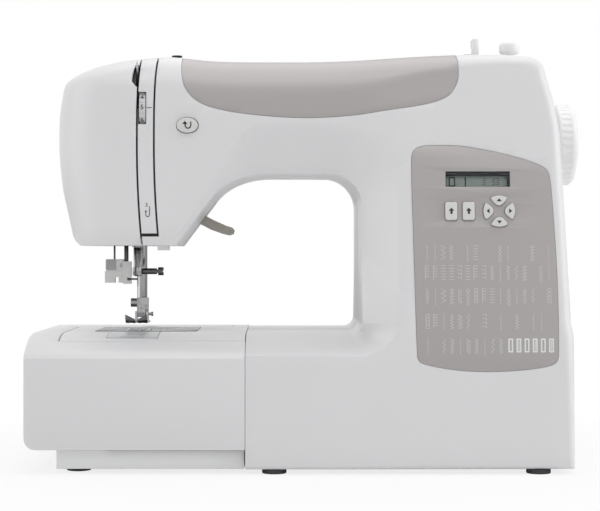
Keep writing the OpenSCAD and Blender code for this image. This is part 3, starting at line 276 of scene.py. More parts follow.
def cover_stations(side):
    # the wall's stations in order: head, its slope, the arm, the throat's corner,
    # the column, the bed's corner and the bed
    n = 8
    rows = [arm_at(lerp(HEAD_X, -97, i / n), HEAD_UNDER, side) for i in range(n)]
    n = 10
    rows += [arm_at(lerp(-97, -71, i / n), lerp(HEAD_UNDER, 193, i / n), side) for i in range(n)]
    n = 12
    for i in range(n):
        t = i / n
        b = [(1 - t) ** 3, 3 * t * (1 - t) ** 2, 3 * t * t * (1 - t), t ** 3]
        x = sum(w * p for w, p in zip(b, (-71, -62.6, -46, -31)))
        z = sum(w * p for w, p in zip(b, (193, 204.2, 210, 210)))
        rows.append(arm_at(x, z, side))
    n = 8
    rows += [arm_at(lerp(-31, THROAT - THROAT_R, i / n), UNDER, side) for i in range(n + 1)]
    n = 36
    for i in range(1, n + 1):
        f = i / n
        a = math.radians(90 * f)
        inner = (THROAT - THROAT_R + THROAT_R * math.sin(a),
                 UNDER - THROAT_R + THROAT_R * math.cos(a))
        e = ease(f * 1.6)
        if side < 0:
            rows.append((inner, outer_corner(f), lerp(33, 25, f), 12, lerp(26, 9, e), lerp(22, 11, e), 0))
        else:
            rows.append((inner, outer_corner(f), 5, 4, lerp(14, 9, e), lerp(12, 11, e), 0))
    n = 12
    for i in range(1, n + 1):
        z = lerp(UNDER - THROAT_R, BED + BED_R, i / n)
        rows.append(((THROAT, z), (right_of(z), z), 25 if side < 0 else 5, 12 if side < 0 else 4, 9, 11, 0))
    n = 24
    for i in range(1, n + 1):
        f = i / n
        a = math.radians(90 * f)
        inner = (THROAT - BED_R + BED_R * math.cos(a), BED + BED_R - BED_R * math.sin(a))
        if f < 0.5:
            outer = (right_of(0), lerp(BED + BED_R, LOWER_EDGE, f / 0.5))
        else:
            outer = (lerp(right_of(0), THROAT - BED_R, (f - 0.5) / 0.5), LOWER_EDGE)
        rows.append((inner, outer, lerp(25, 14, f) if side < 0 else lerp(5, 8, f),
                     lerp(12, 48, f) if side < 0 else lerp(4, 8, f), lerp(9, 3, f), lerp(11, 3, f), f))
    n = 8
    for i in range(1, n + 1):
        x = lerp(THROAT - BED_R, SEAM_X, i / n)
        rows.append(((x, BED), (x, LOWER_EDGE), 14 if side < 0 else 8, 48 if side < 0 else 8, 3, 3, 1))
    return rows


def loft(name, rings):
    # a closed skin through rings of equal length, in metres
    n = len(rings[0])
    verts = [tuple(c * MM for c in p) for r in rings for p in r]
    faces = []
    for i in range(len(rings) - 1):
        for j in range(n):
            a, b = i * n + j, i * n + (j + 1) % n
            faces.append((a, b, b + n, a + n))
    faces.append(tuple(range(n))[::-1])
    faces.append(tuple((len(rings) - 1) * n + j for j in range(n)))
    mesh = bpy.data.meshes.new(name)
    mesh.from_pydata(verts, [], faces)
    work = bmesh.new()
    work.from_mesh(mesh)
    bmesh.ops.remove_doubles(work, verts=work.verts, dist=1e-6)
    bmesh.ops.recalc_face_normals(work, faces=work.faces)
    work.to_mesh(mesh)
    work.free()
    obj = bpy.data.objects.new(name, mesh)
    scene.collection.objects.link(obj)
    return obj


def prism(outline, y0, y1, grow=0.0, name="cutter"):
    # an outline in X and Z, widened by grow and carried from y0 to y1
    pts = [Vector(p) for p in outline]
    if grow:
        area = sum(a.x * b.y - b.x * a.y for a, b in zip(pts[-1:] + pts, pts))
        moved = []
        for i, p in enumerate(pts):
            d1 = (p - pts[i - 1]).normalized()
            d2 = (pts[(i + 1) % len(pts)] - p).normalized()
            m = Vector((d1.y + d2.y, -d1.x - d2.x)).normalized()
            moved.append(p + m * (grow if area > 0 else -grow) / max(0.5, math.sqrt((1 + d1.dot(d2)) / 2)))
        pts = moved
    return loft(name, [[(p.x, y, p.y) for p in pts] for y in (y0, y1)])


def block(low, high, name="cutter"):
    (x0, y0, z0), (x1, y1, z1) = low, high
    return prism([(x0, z0), (x1, z0), (x1, z1), (x0, z1)], y0, y1, name=name)


def make_plain(obj):
    # the result of obj's modifiers becomes its mesh
    plain = bpy.data.meshes.new_from_object(obj.evaluated_get(bpy.context.evaluated_depsgraph_get()))
    obj.modifiers.clear()
    obj.data = plain


def carve(obj, *tools, how="DIFFERENCE"):
    # takes each tool out of obj; INTERSECT leaves what is inside it, UNION adds it
    for tool in tools:
        cut = obj.modifiers.new("cut", "BOOLEAN")
        cut.operation = how
        cut.solver = "MANIFOLD"
        cut.object = tool
        make_plain(obj)
        bpy.data.objects.remove(tool)


def settle(obj, material, body, *nodes, edge=0.0, crease=35):
    # rounds the sharp edges, sets the finish and hands the piece to its body
    work = bmesh.new()
    work.from_mesh(obj.data)
    bmesh.ops.remove_doubles(work, verts=work.verts, dist=2e-6)
    work.to_mesh(obj.data)
    work.free()
    if edge:
        soft = obj.modifiers.new("soft", "BEVEL")
        soft.width = edge * MM
        soft.segments = 2
        soft.limit_method = "ANGLE"
        soft.angle_limit = math.radians(crease)
        soft.use_clamp_overlap = True
        make_plain(obj)
    obj.data.materials.clear()
    obj.data.materials.append(material)
    for poly in obj.data.polygons:
        poly.use_smooth = True
        poly.material_index = 0
    obj.data.set_sharp_from_angle(angle=math.radians(crease))
    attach(obj, body)
    if nodes:
        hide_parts(*nodes)
    return obj


def new_finish(name, **inputs):
    # a new material, its node tree and its surface with these inputs
    material = bpy.data.materials.new(name)
    material.use_nodes = True
    surface = material.node_tree.nodes["Principled BSDF"]
    for key, value in inputs.items():
        surface.inputs[key.replace("_", " ")].default_value = value
    return material, material.node_tree, surface


def moulded(name, colour, rough, grain=0.02, flake=0.0, scale=900):
    # a moulded or painted finish with a faint texture of its own
    material, tree, surface = new_finish(name, Metallic=flake, Coat_Weight=0.0, Coat_Roughness=0.12)
    where = add(tree, "ShaderNodeTexCoord")
    fine = add(tree, "ShaderNodeTexNoise", Scale=scale, Detail=3)
    broad = add(tree, "ShaderNodeTexNoise", Scale=14, Detail=2)
    tint = add(tree, "ShaderNodeMix", data_type="RGBA", A=(*[c * 0.985 for c in colour], 1),
               B=(*[min(1, c * 1.015) for c in colour], 1))
    level = add(tree, "ShaderNodeMapRange", To_Min=rough - 0.03, To_Max=rough + 0.04)
    bump = add(tree, "ShaderNodeBump", Strength=grain, Distance=0.0004)
    wire(tree,
         (where.outputs["Object"], fine.inputs["Vector"]),
         (where.outputs["Object"], broad.inputs["Vector"]),
         (broad.outputs["Fac"], tint.inputs["Factor"]),
         (tint.outputs["Result"], surface.inputs["Base Color"]),
         (fine.outputs["Fac"], level.inputs["Value"]),
         (level.outputs["Result"], surface.inputs["Roughness"]),
         (fine.outputs["Fac"], bump.inputs["Height"]),
         (bump.outputs["Normal"], surface.inputs["Normal"]))
    return material


white_shell = moulded("white_shell", (0.80, 0.795, 0.80), 0.34, 0.03)


def full_ring(station, side, inset):
    # a filled section, held back from the other cover by the parting gap
    return moulding_section(station, side, inset, PARTING + side * PARTING_GAP)


def wall_ring(station, side):
    # the same section as a wall: out along its face and back along its inside
    return full_ring(station, side, 0) + full_ring(station, side, WALL)[::-1]


def slot_side(x0, side, far):
    # all that lies on one side of a slot's bowed edge
    edge = [(x0 + bow(z) + side * SLOT_W / 2, z) for z in range(150, 311, 8)]
    return prism(edge + [(far, 310), (far, 150)], -100, 90)


ARM_PANEL = [(-92, 303), (-92.8, 288), (-92.5, 279), (-90.6, 270.4), (-85, 262.8), (-75.8, 257.2),
             (-59.2, 253.1), (-37.9, 250.3), (-10.2, 248.4), (11, 248.9), (32.3, 250.6), (52.9, 253.8),
             (74.2, 256.7), (88.3, 259.9), (96.9, 264.8), (101.5, 271.8), (103.2, 280.3), (101, 303)]
CONTROL_PANEL = [(68.6, 218), (69.6, 223.4), (72, 226.3), (77, 228.1), (86.8, 228.4), (100.1, 228.3),
                 (111.3, 226.9), (128, 223.7), (139.2, 220.9), (150.4, 217.7), (159.5, 214), (163.6, 211),
                 (165.2, 206.5), (166.3, 194.3), (168, 160.7), (169.2, 128.2), (169.3, 84.1),
                 (168.5, 78.6), (165.3, 75.8), (153.2, 73.1), (126, 71), (103.9, 71.7), (87.3, 74),
                 (76.3, 76.4), (72.6, 78.6), (71.6, 82.5), (70.1, 149.6)]


def rounded(outline):
    # corner-cutting that turns a coarse outline into a flowing one
    pts = [Vector(p) for p in outline]
    for _ in range(2):
        pts = [q for a, b in zip(pts, pts[1:] + pts[:1]) for q in (a.lerp(b, 0.25), a.lerp(b, 0.75))]
    return [(p.x, p.y) for p in pts]


arm_outline = rounded(ARM_PANEL)
control_outline = rounded(CONTROL_PANEL)
PANEL_T, POCKET_FIT = 1.1, 0.05


def arm_skin(inset):
    # the arm's own face as a solid, for cutting the panel's pocket to its depth
    rows = []
    for i in range(30):
        x = lerp(-100, 11, i / 29)
        rows.append(((x, 200), (x, top_of(x)), 10, 0.5, 26, 22, 0))
    for i in range(1, 16):
        f = 0.4 * i / 15
        a = math.radians(90 * f)
        e = ease(f * 1.6)
        inner = (THROAT - THROAT_R + THROAT_R * math.sin(a), 200)
        rows.append((inner, outer_corner(f), 10, 0.5, lerp(26, 9, e), lerp(22, 11, e), 0))
    return loft("cutter", [full_ring(s, -1, inset) for s in rows])


def face_solid(below, above, name="cutter"):
    # a slab that follows the column's leaning face
    steps = 24
    heights = [lerp(62, 236, i / steps) for i in range(steps + 1)]
    inner = [(column_face(z) + below, z) for z in heights]
    outer = [(y - below - above, z) for y, z in inner]
    return loft(name, [[(x, y, z) for y, z in inner + outer[::-1]] for x in (60, 176)])


KEY_Z, KEYS_X, PAD_X, PAD_D = 182.1, (96.1, 108.2), 129.4, 22.4
KEY_W, KEY_H = 8.4, 12.7
KEY_HOLE = (10.4, 15.2, 1.5)
LCD_X, LCD_Z, LCD_W, LCD_H = 115.0, 204.7, 45.0, 11.0


def on_face(obj, x, z):
    # stands a piece that was drawn flat on the column's face
    lean = math.atan((column_face(z + 1) - column_face(z - 1)) / 2)
    turn = math.radians(90) - lean
    c, s = math.cos(turn), math.sin(turn)
    for v in obj.data.vertices:
        px, py, pz = v.co.x / MM, v.co.y / MM, v.co.z / MM
        v.co = Vector((x + px, column_face(z) + py * c - pz * s, z + py * s + pz * c)) * MM
    return obj


def flat_plate(outline, low, high, name="cutter"):
    # drawn in X and Y, thick in Z
    return loft(name, [[(p[0], p[1], z) for p in outline] for z in (low, high)])


def round_box(w, h, r):
    # a rectangle with round corners
    pts = []
    for k, (right, up) in enumerate(((1, 1), (-1, 1), (-1, -1), (1, -1))):
        for i in range(6):
            a = math.radians(90 * k + 18 * i)
            pts.append((right * (w / 2 - r) + r * math.cos(a), up * (h / 2 - r) + r * math.sin(a)))
    return pts


def ellipse(w, h):
    turns = [2 * math.pi * i / 48 for i in range(48)]
    return [(w / 2 * math.cos(a), h / 2 * math.sin(a)) for a in turns]


def turned(name, profile, y, z, n=48, flute=0, depth=0.0, band=(0, 0)):
    # a part turned about an axis along X, from (radius, x) pairs
    rings = []
    for r, x in profile:
        ring = []
        for i in range(n):
            a = 2 * math.pi * i / n
            cut = depth if flute and band[0] <= x <= band[1] and (i * flute * 2 // n) % 2 else 0
            ring.append((x, y + (r - cut) * math.cos(a), z + (r - cut) * math.sin(a)))
        rings.append(ring)
    return loft(name, rings)


BUTTON_X, BUTTON_Z, BUTTON_HOLE = -88.4, 243.2, (16.1, 11.7)
SHAFT_HOLE_R = 10
front = loft("front_shell", [wall_ring(s, -1) for s in cover_stations(-1)])
carve(front, slot_side(SLOT_X, 1, -150))
strip_gap = slot_side(SLOT_X, -1, -90)
carve(strip_gap, slot_side(STRIP_X, 1, -80), block((-140, -101, 100), (-70, 91, HEAD_UNDER + 6.2)),
      block((-140, PARTING, 100), (-70, 91, 320)))
lifter_slot = block((-111.3, -44.3, 153), (-102.7, -29.7, 163.5))
carve(front, strip_gap, block(*HEAD_OPENING), lifter_slot)
arm_pocket = prism(arm_outline, -95, -34, 0.3)
carve(arm_pocket, arm_skin(PANEL_T + POCKET_FIT))
carve(front, arm_pocket)
column_pocket = face_solid(PANEL_T + POCKET_FIT, 4)
carve(column_pocket, prism(control_outline, -97, -58, 0.3), how="INTERSECT")
carve(front, column_pocket)
carve(front, on_face(flat_plate(round_box(LCD_W + 1.4, LCD_H + 1.4, 0.5), -10, 10), LCD_X, LCD_Z))
for x in KEYS_X:
    carve(front, on_face(flat_plate(round_box(*KEY_HOLE), -8, 8), x, KEY_Z))
carve(front, on_face(flat_plate(ellipse(PAD_D + 1.6, PAD_D + 1.6), -8, 8), PAD_X, KEY_Z))
button_hole = prism([(BUTTON_X + p[0], BUTTON_Z + p[1]) for p in ellipse(*BUTTON_HOLE)], -80, -40)
shaft_hole = turned("cutter", [(SHAFT_HOLE_R, 170), (SHAFT_HOLE_R, 190)], SHAFT_Y, SHAFT_Z)
carve(front, button_hole, shaft_hole)
settle(front, white_shell, "machine", "front_cover", edge=0.25, crease=28)


# ---------------------------------------------------------------------------
# Rear cover: the other moulding in white ABS, with a rack sunk in its top for
# the handle and the spool, and with cooling slots and a socket opening in its
# walls. It screws to the frame from behind.
# ---------------------------------------------------------------------------
def post(name, profile, x, y, n=48):
    # a part turned about an upright axis, from (radius, z) pairs
    turns = [2 * math.pi * i / n for i in range(n)]
    return loft(name, [[(x + r * math.cos(a), y + r * math.sin(a), z) for a in turns] for r, z in profile])


STOP_X, GUIDE_X, WINDER_Y = 149.6, -100.5, 12
VENT_X, VENT_Z, VENT_PITCH = 62, 51, 9
rear = loft("rear_shell", [wall_ring(s, 1) for s in cover_stations(1)])
well = block((-72.5, 11.5, 269.5), (94.5, 44.5, 305))
top_rings = [full_ring(s, 1, 0.6) for s in cover_stations(1) if s[1][1] > 250]
carve(well, loft("cutter", top_rings), how="INTERSECT")
carve(rear, well, how="UNION")
carve(rear, slot_side(SLOT_X - SLOT_W + 0.25, 1, -150))
spool_bay = block((-70, 14, 272), (2.4, 42, 310))
handle_bay = block((7, 14, 272), (92, 42, 310))
handle_pin = turned("cutter", [(2.6, 4), (2.6, 94)], 19, 286.5, 24)
spool_seat = turned("cutter", [(2, -72), (2, -69)], 28, 284, 24)
rear_lifter_slot = block((-104, 25, 152.5), (-72, 34, 194))
spindle_slot = block((118, 8, 285), (138, 20, 310))
power_opening = block((170, 28, 40), (190, 52, 84))
carve(rear, block(*HEAD_OPENING), spool_bay, handle_bay, handle_pin, spool_seat, rear_lifter_slot,
      spindle_slot, power_opening)
for x, r in ((STOP_X, 2.0), (GUIDE_X, 1.6)):
    carve(rear, post("cutter", [(r, 280), (r, 310)], x, WINDER_Y, 20))
for i in range(8):
    vent = [(VENT_X + i * VENT_PITCH + p[0], VENT_Z + p[1]) for p in round_box(4, 22, 1.99)]
    carve(rear, prism(vent, 70, 95))
settle(rear, white_shell, "machine", "rear_cover", edge=0.25, crease=28)


# ---------------------------------------------------------------------------
# Face cover: the rounded cap on the head's left end, moulded in white ABS. It
# comes off for oiling, and its right edge forms one side of the take-up slot.
# ---------------------------------------------------------------------------
def interp(table, v):
    # reads a value off a table of (place, value) pairs
    for (a, fa), (b, fb) in zip(table, table[1:]):
        if v <= b:
            return lerp(fa, fb, (v - a) / (b - a))
    return table[-1][1]


LEFT_EDGE = [(158.5, -169.5), (162, -172.8), (165.5, -174.5), (181, -178), (199, -182.3), (225, -185),
             (248, -185), (260, -184), (268.5, -182)]


def smooth_left(z):
    # how far left the cap reaches, with the table's corners smoothed out
    if z <= 172:
        return interp(LEFT_EDGE, z)
    return sum(interp(LEFT_EDGE, z + d) for d in (-6, -3, 0, 3, 6)) / 5


def cap_ring(z, xl, front_in, back_in, drop, inset, x_right):
    # one level line round the cap, from its right edge over the rounded left end
    lo, hi = head_face(z) + front_in + inset, 50 - back_in - inset
    mid, half = (lo + hi) / 2, (hi - lo) / 2
    ring = []
    n = 48
    zz = z - inset * ease((z - 266) / 18) + (inset if z < 160 else 0)
    for i in range(n + 1):
        t = math.pi * i / n
        s, c = math.sin(t), math.cos(t)
        x = -118 - (-118 - xl - inset) * s ** 0.72
        y = mid - half * math.copysign(abs(c) ** 0.72, c)
        ring.append((x, y, zz - 0.1 * drop * (-118 - x)))
    return ring + [(x_right, hi, zz), (x_right, lo, zz)]


def cap_rings(inset, x_right):
    # level lines from the cap's lower lip up its side and over its dome
    rows = []
    for i in range(5):
        t = i / 4
        z = HEAD_UNDER + 7 * t
        rows.append(cap_ring(z, smooth_left(z), 3 * (1 - t), 0, 0, inset, x_right))
    for i in range(1, 22):
        z = lerp(165.5, 268.5, i / 21)
        rows.append(cap_ring(z, smooth_left(z), 0, 0, 0, inset, x_right))
    for i in range(1, 15):
        a = math.radians(88 * i / 14)
        z = 268.5 + 24.6 * math.sin(a)
        xl = -182 + 34 * (1 - math.cos(a)) ** 1.1
        b = 0 if z < 279.3 else 12 * (1 - math.sqrt(max(0, 1 - min(1, (z - 279.3) / 14) ** 2)))
        rows.append(cap_ring(z, xl, 22 * (1 - math.cos(a)), b, ease(i / 11), inset, x_right))
    rows.append(cap_ring(293.3, -144, 32, 22, 1, inset, x_right))
    rows.append(cap_ring(293.5, -137, 48, 38, 1, inset, x_right))
    return rows


LEVER_NOTCH = [(-123, 270.5), (-124.9, 270.8), (-127.8, 274.5), (-127.5, 279), (-126.6, 284),
               (-125.8, 286.6), (-122, 287)]
face_cap = loft("face_cap", cap_rings(0, -117))
carve(face_cap, loft("cutter", cap_rings(WALL, -110)), slot_side(SLOT_X, -1, -90), block(*HEAD_OPENING),
      prism(LEVER_NOTCH, -80, -50))
settle(face_cap, white_shell, "machine", "face_cover", edge=0.3, crease=30)


# ---------------------------------------------------------------------------
# Threading strip: the narrow moulding in white ABS between the take-up slot and
# the tension slot, clipped in from behind, with a window for the dial.
# ---------------------------------------------------------------------------
strip_stations = [arm_at(x, HEAD_UNDER, -1) for x in (-127, -122, -117, -112, -107)]
strip = loft("thread_strip", [wall_ring(s, -1) for s in strip_stations])
right_part = block((-140, -101, 100), (-60, 91, 320))
carve(right_part, slot_side(STRIP_X, -1, -150))
dial_window = block((-123.2, -90, 244), (-117.4, -40, 267))
carve(strip, slot_side(SLOT_X, 1, -150), right_part, block((-140, -101, 100), (-60, 91, HEAD_UNDER + 8.4)),
      dial_window)
settle(strip, white_shell, "machine", "threading_strip", edge=0.3, crease=30)


# ---------------------------------------------------------------------------
# Arm panel and control panel: two inlaid sheets in satin grey paint with a
# metallic flake. They sit flush in pockets of the front cover.
# ---------------------------------------------------------------------------
def pad_outline(turn, grow=0.0):
    # one of the four arrow keys: an arc of the pad's rim and a bowed inner side
    shade_rim = [math.radians(a) for a in range(58, 123, 8)]
    pts = [(11 * math.cos(a), 11 * math.sin(a)) for a in shade_rim]
    pts += [(-5, 7.9), (-3.9, 6.5), (-2.6, 5), (-1.2, 4.2), (0, 4),
            (1.2, 4.2), (2.6, 5), (3.9, 6.5), (5, 7.9)]
    c, s = math.cos(math.radians(turn)), math.sin(math.radians(turn))
    pts = [(x * (1 + grow / 6), 7.5 + (y - 7.5) * (1 + grow / 3.5)) for x, y in pts]
    return [(x * c - y * s, x * s + y * c) for x, y in pts]


panel_paint = moulded("panel_paint", (0.43, 0.405, 0.40), 0.42, 0.05, flake=0.25, scale=2600)
arm_sheet = prism(arm_outline, -95, -34, name="arm_sheet")
carve(arm_sheet, arm_skin(0.0), how="INTERSECT")
carve(arm_sheet, arm_skin(PANEL_T))
settle(arm_sheet, panel_paint, "machine", "arm_panel", edge=0.12, crease=40)

panel_sheet = face_solid(PANEL_T, 0.1, "control_sheet")
carve(panel_sheet, prism(control_outline, -97, -58), how="INTERSECT")
carve(panel_sheet, on_face(flat_plate(round_box(LCD_W, LCD_H, 0.4), -10, 10), LCD_X, LCD_Z))
for x in KEYS_X:
    carve(panel_sheet, on_face(flat_plate(round_box(KEY_W + 0.7, KEY_H + 0.7, 1.8), -8, 8), x, KEY_Z))
for turn in (0, 90, 180, 270):
    carve(panel_sheet, on_face(flat_plate(pad_outline(turn, 0.35), -8, 8), PAD_X, KEY_Z))
settle(panel_sheet, panel_paint, "machine", "control_panel", edge=0.15, crease=40)


# ---------------------------------------------------------------------------
# Slot lining: a sheet of black plastic held just behind the head's front wall.
# It is painted shade: it stands in for the shadow inside the slots, so that they
# look dark. It is cut away for the dial and the take-up lever.
# ---------------------------------------------------------------------------
black_plastic = moulded("black_plastic", (0.02, 0.02, 0.022), 0.45, 0.1)
SHADE_LINING_FRONT, SHADE_LINING_BACK = 3.2, 3.9
shade_lining_rings = []
for x in (-130, -106):
    station = arm_at(x, HEAD_UNDER, -1)
    shade_lining_rings.append(moulding_section(station, -1, SHADE_LINING_FRONT, PARTING)
                        + moulding_section(station, -1, SHADE_LINING_BACK, PARTING)[::-1])
# painted shade: this black sheet stands in for the shadow inside the slots
painted_shade_lining = loft("slot_painted_shade", shade_lining_rings)
below_shade_lining = block((-140, -90, 100), (-100, 20, 163.5))
dial_gap = block((-124.9, -80, 238), (-116, -40, 272))
lever_gap = block((-125.1, -80, 196), (-122.7, 10, 300))
carve(painted_shade_lining, below_shade_lining, dial_gap, lever_gap)
settle(painted_shade_lining, black_plastic, "machine")


# ---------------------------------------------------------------------------
# Display: a grey-green screen in a black plastic frame, with seven-bar figures
# and small marks. A clear moulded window lies over it, in the control panel. The
# frame's wide top and right borders are painted shade, standing in for the shadow
# of the recess's ceiling and right wall.
# ---------------------------------------------------------------------------
def join(name, parts):
    # one mesh from several, each kept as its own closed shell
    work = bmesh.new()
    for part in parts:
        work.from_mesh(part.data)
        bpy.data.objects.remove(part)
    mesh = bpy.data.meshes.new(name)
    work.to_mesh(mesh)
    work.free()
    obj = bpy.data.objects.new(name, mesh)
    scene.collection.objects.link(obj)
    return obj


PRINT_LOW, PRINT_HIGH = -0.05, 0.12


def stroke(points, width, low=PRINT_LOW, high=PRINT_HIGH):
    # a printed line: a thin box along each step of the path, drawn in X and Y
    boxes = []
    for (x0, y0), (x1, y1) in zip(points, points[1:]):
        d = Vector((x1 - x0, y1 - y0)).normalized() * width / 2
        side = Vector((-d.y, d.x))
        a, b = Vector((x0, y0)) - d * 0.6, Vector((x1, y1)) + d * 0.6
        boxes.append(flat_plate([tuple(p) for p in (a + side, a - side, b - side, b + side)], low, high))
    return boxes


display_film = moulded("display_film", (0.23, 0.265, 0.245), 0.5, 0.02)
dark_print = moulded("dark_print", (0.02, 0.02, 0.022), 0.5)
still_clear = new_finish("matt_clear_plastic", Base_Color=(0.95, 0.96, 0.96, 1), Roughness=0.02,
                         Transmission_Weight=1.0, IOR=1.02, Specular_IOR_Level=0.0)[0]
SCREEN_DEPTH, FILM = 4.2, 0.1
screen = flat_plate(round_box(LCD_W + 6, LCD_H + 6, 0.5), -6.2, -SCREEN_DEPTH, "screen")
settle(on_face(screen, LCD_X, LCD_Z), display_film, "machine", "display_module", edge=0.1)
# the opening is cut low and to the left, so the black border is wide at the top and right: painted shade for
# the recess's ceiling and right wall, beyond the frame's own thin black edge
shade_rim = flat_plate(round_box(LCD_W + 1.2, LCD_H + 1.2, 0.4), -4.15, -1.25, "display_rim_painted_shade")
carve(shade_rim, flat_plate([(-21.9, -5.4), (20.9, -5.4), (20.9, 3.0), (-21.9, 3.0)], -6, 0))
settle(on_face(shade_rim, LCD_X, LCD_Z), black_plastic, "machine", edge=0.1)
window = flat_plate(round_box(LCD_W - 0.2, LCD_H - 0.2, 0.3), -1.15, -0.7, "display_window")
settle(on_face(window, LCD_X, LCD_Z), still_clear, "machine", "display_window", edge=0.05)
BARS = {"a": ((0, 6), (3.6, 6)), "b": ((3.6, 6), (3.6, 3)), "c": ((3.6, 3), (3.6, 0)),
        "d": ((0, 0), (3.6, 0)), "e": ((0, 3), (0, 0)), "f": ((0, 6), (0, 3))}
marks = []
for x, lit_bars in ((-19.4, "abcdef"), (-11.8, "bc")):
    for bar in lit_bars:
        marks += stroke([(x + p[0], -4.1 + p[1]) for p in BARS[bar]], 0.95, 0, FILM)
for i in range(6):
    marks += stroke([(-18 + 6.6 * i, -5.0), (-17.2 + 6.6 * i, -5.0)], 0.5, 0, FILM)
for x, y in ((4, 1.2), (4, -1.6), (10.5, 1.2), (13.5, 1.2), (10.5, -1.6), (13.5, -1.6)):
    marks += stroke([(x, y), (x + 1.6, y), (x + 1.6, y - 1.6), (x, y - 1.6)], 0.3, 0, FILM)
marks = join("display_marks", marks)
for v in marks.data.vertices:
    v.co.z -= SCREEN_DEPTH * MM
settle(on_face(marks, LCD_X, LCD_Z), dark_print, "machine")


# ---------------------------------------------------------------------------
# Keys: two upright keys and four arrow keys round a small island, moulded in
# white with printed arrows. Each slides in its own hole in the panel.
# ---------------------------------------------------------------------------
def cushion(name, outline, low, high, round_by):
    # a key: straight sides and a rounded top edge
    cx = sum(p[0] for p in outline) / len(outline)
    cy = sum(p[1] for p in outline) / len(outline)
    reach = min(max(abs(p[0] - cx) for p in outline), max(abs(p[1] - cy) for p in outline))
    rings = [[(*p, low) for p in outline]]
    for i in range(5):
        a = math.radians(90 * i / 4)
        k = 1 - round_by * (1 - math.cos(a)) / reach
        z = high - round_by * (1 - math.sin(a))
        rings.append([(cx + (p[0] - cx) * k, cy + (p[1] - cy) * k, z) for p in outline])
    return loft(name, rings)


def body_of(node):
    return frame["nodes"][node]["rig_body"]


key_white = moulded("key_white", (0.74, 0.74, 0.72), 0.34, 0.02)
UP_ARROW = [(-0.75, -2.1), (0.75, -2.1), (0.75, 0.1), (1.9, 0.1), (0, 2.3), (-1.9, 0.1), (-0.75, 0.1)]
ARROW_TIP = [(-1.7, 6.8), (1.7, 6.8), (0, 8.9)]
for node, x in zip(("left_key", "right_key"), KEYS_X):
    cap = cushion(node + "_cap", round_box(KEY_W, KEY_H, 1.5), -4, 2.1, 0.7)
    settle(on_face(cap, x, KEY_Z), key_white, body_of(node), node)
    arrow = flat_plate(UP_ARROW, 2.0, 2.2, node + "_arrow")
    settle(on_face(arrow, x, KEY_Z), dark_print, body_of(node))
for node, turn in (("up_arrow_key", 0), ("left_arrow_key", 90), ("down_arrow_key", 180),
                   ("right_arrow_key", 270)):
    cap = cushion(node + "_cap", pad_outline(turn), -4, 2.0, 0.6)
    settle(on_face(cap, PAD_X, KEY_Z), key_white, body_of(node), node)
    c, s = math.cos(math.radians(turn)), math.sin(math.radians(turn))
    arrow = flat_plate([(x * c - y * s, x * s + y * c) for x, y in ARROW_TIP], 1.9, 2.1, node + "_arrow")
    settle(on_face(arrow, PAD_X, KEY_Z), dark_print, body_of(node))


# ---------------------------------------------------------------------------
# Stitch chart: rows of plain stitch shapes printed in pale ink on the control
# panel. Each shape is one drawn unit, repeated down its column.
# ---------------------------------------------------------------------------
def down_the_row(unit, count, step, material):
    # repeats a drawn unit at a steady pitch down a row
    tree = bpy.data.node_groups.new("row", "GeometryNodeTree")
    tree.interface.new_socket("Geometry", in_out="INPUT", socket_type="NodeSocketGeometry")
    how_many = tree.interface.new_socket("Count", in_out="INPUT", socket_type="NodeSocketInt")
    pitch = tree.interface.new_socket("Pitch", in_out="INPUT", socket_type="NodeSocketVector")
    tree.interface.new_socket("Geometry", in_out="OUTPUT", socket_type="NodeSocketGeometry")
    start = add(tree, "NodeGroupInput")
    line = add(tree, "GeometryNodeMeshLine")
    place = add(tree, "GeometryNodeInstanceOnPoints")
    real = add(tree, "GeometryNodeRealizeInstances")
    paint = add(tree, "GeometryNodeSetMaterial", Material=material)
    end = add(tree, "NodeGroupOutput")
    wire(tree,
         (start.outputs["Count"], line.inputs["Count"]),
         (start.outputs["Pitch"], line.inputs["Offset"]),
         (line.outputs[0], place.inputs["Points"]),
         (start.outputs["Geometry"], place.inputs["Instance"]),
         (place.outputs[0], real.inputs[0]),
         (real.outputs[0], paint.inputs["Geometry"]),
         (paint.outputs[0], end.inputs[0]))
    row = unit.modifiers.new("row", "NODES")
    row.node_group = tree
    row[how_many.identifier] = count
    row[pitch.identifier] = Vector(step) * MM
    make_plain(unit)


def print_on_column(name, drawn, ink):
    # lays marks that were drawn in X and Y on the column's leaning face
    marks = join(name, drawn)
    for v in marks.data.vertices:
        x, z, up = v.co / MM
        v.co = Vector((x, column_face(z) - up, z)) * MM
    marks.data.flip_normals()
    settle(marks, ink, "machine")


pale_print = moulded("pale_print", (0.62, 0.62, 0.60), 0.5)
bright_print = moulded("bright_print", (0.82, 0.84, 0.82), 0.5)
COLUMN_PITCH, FIRST_COLUMN_X, LINE_W = 5.62, 79, 0.42
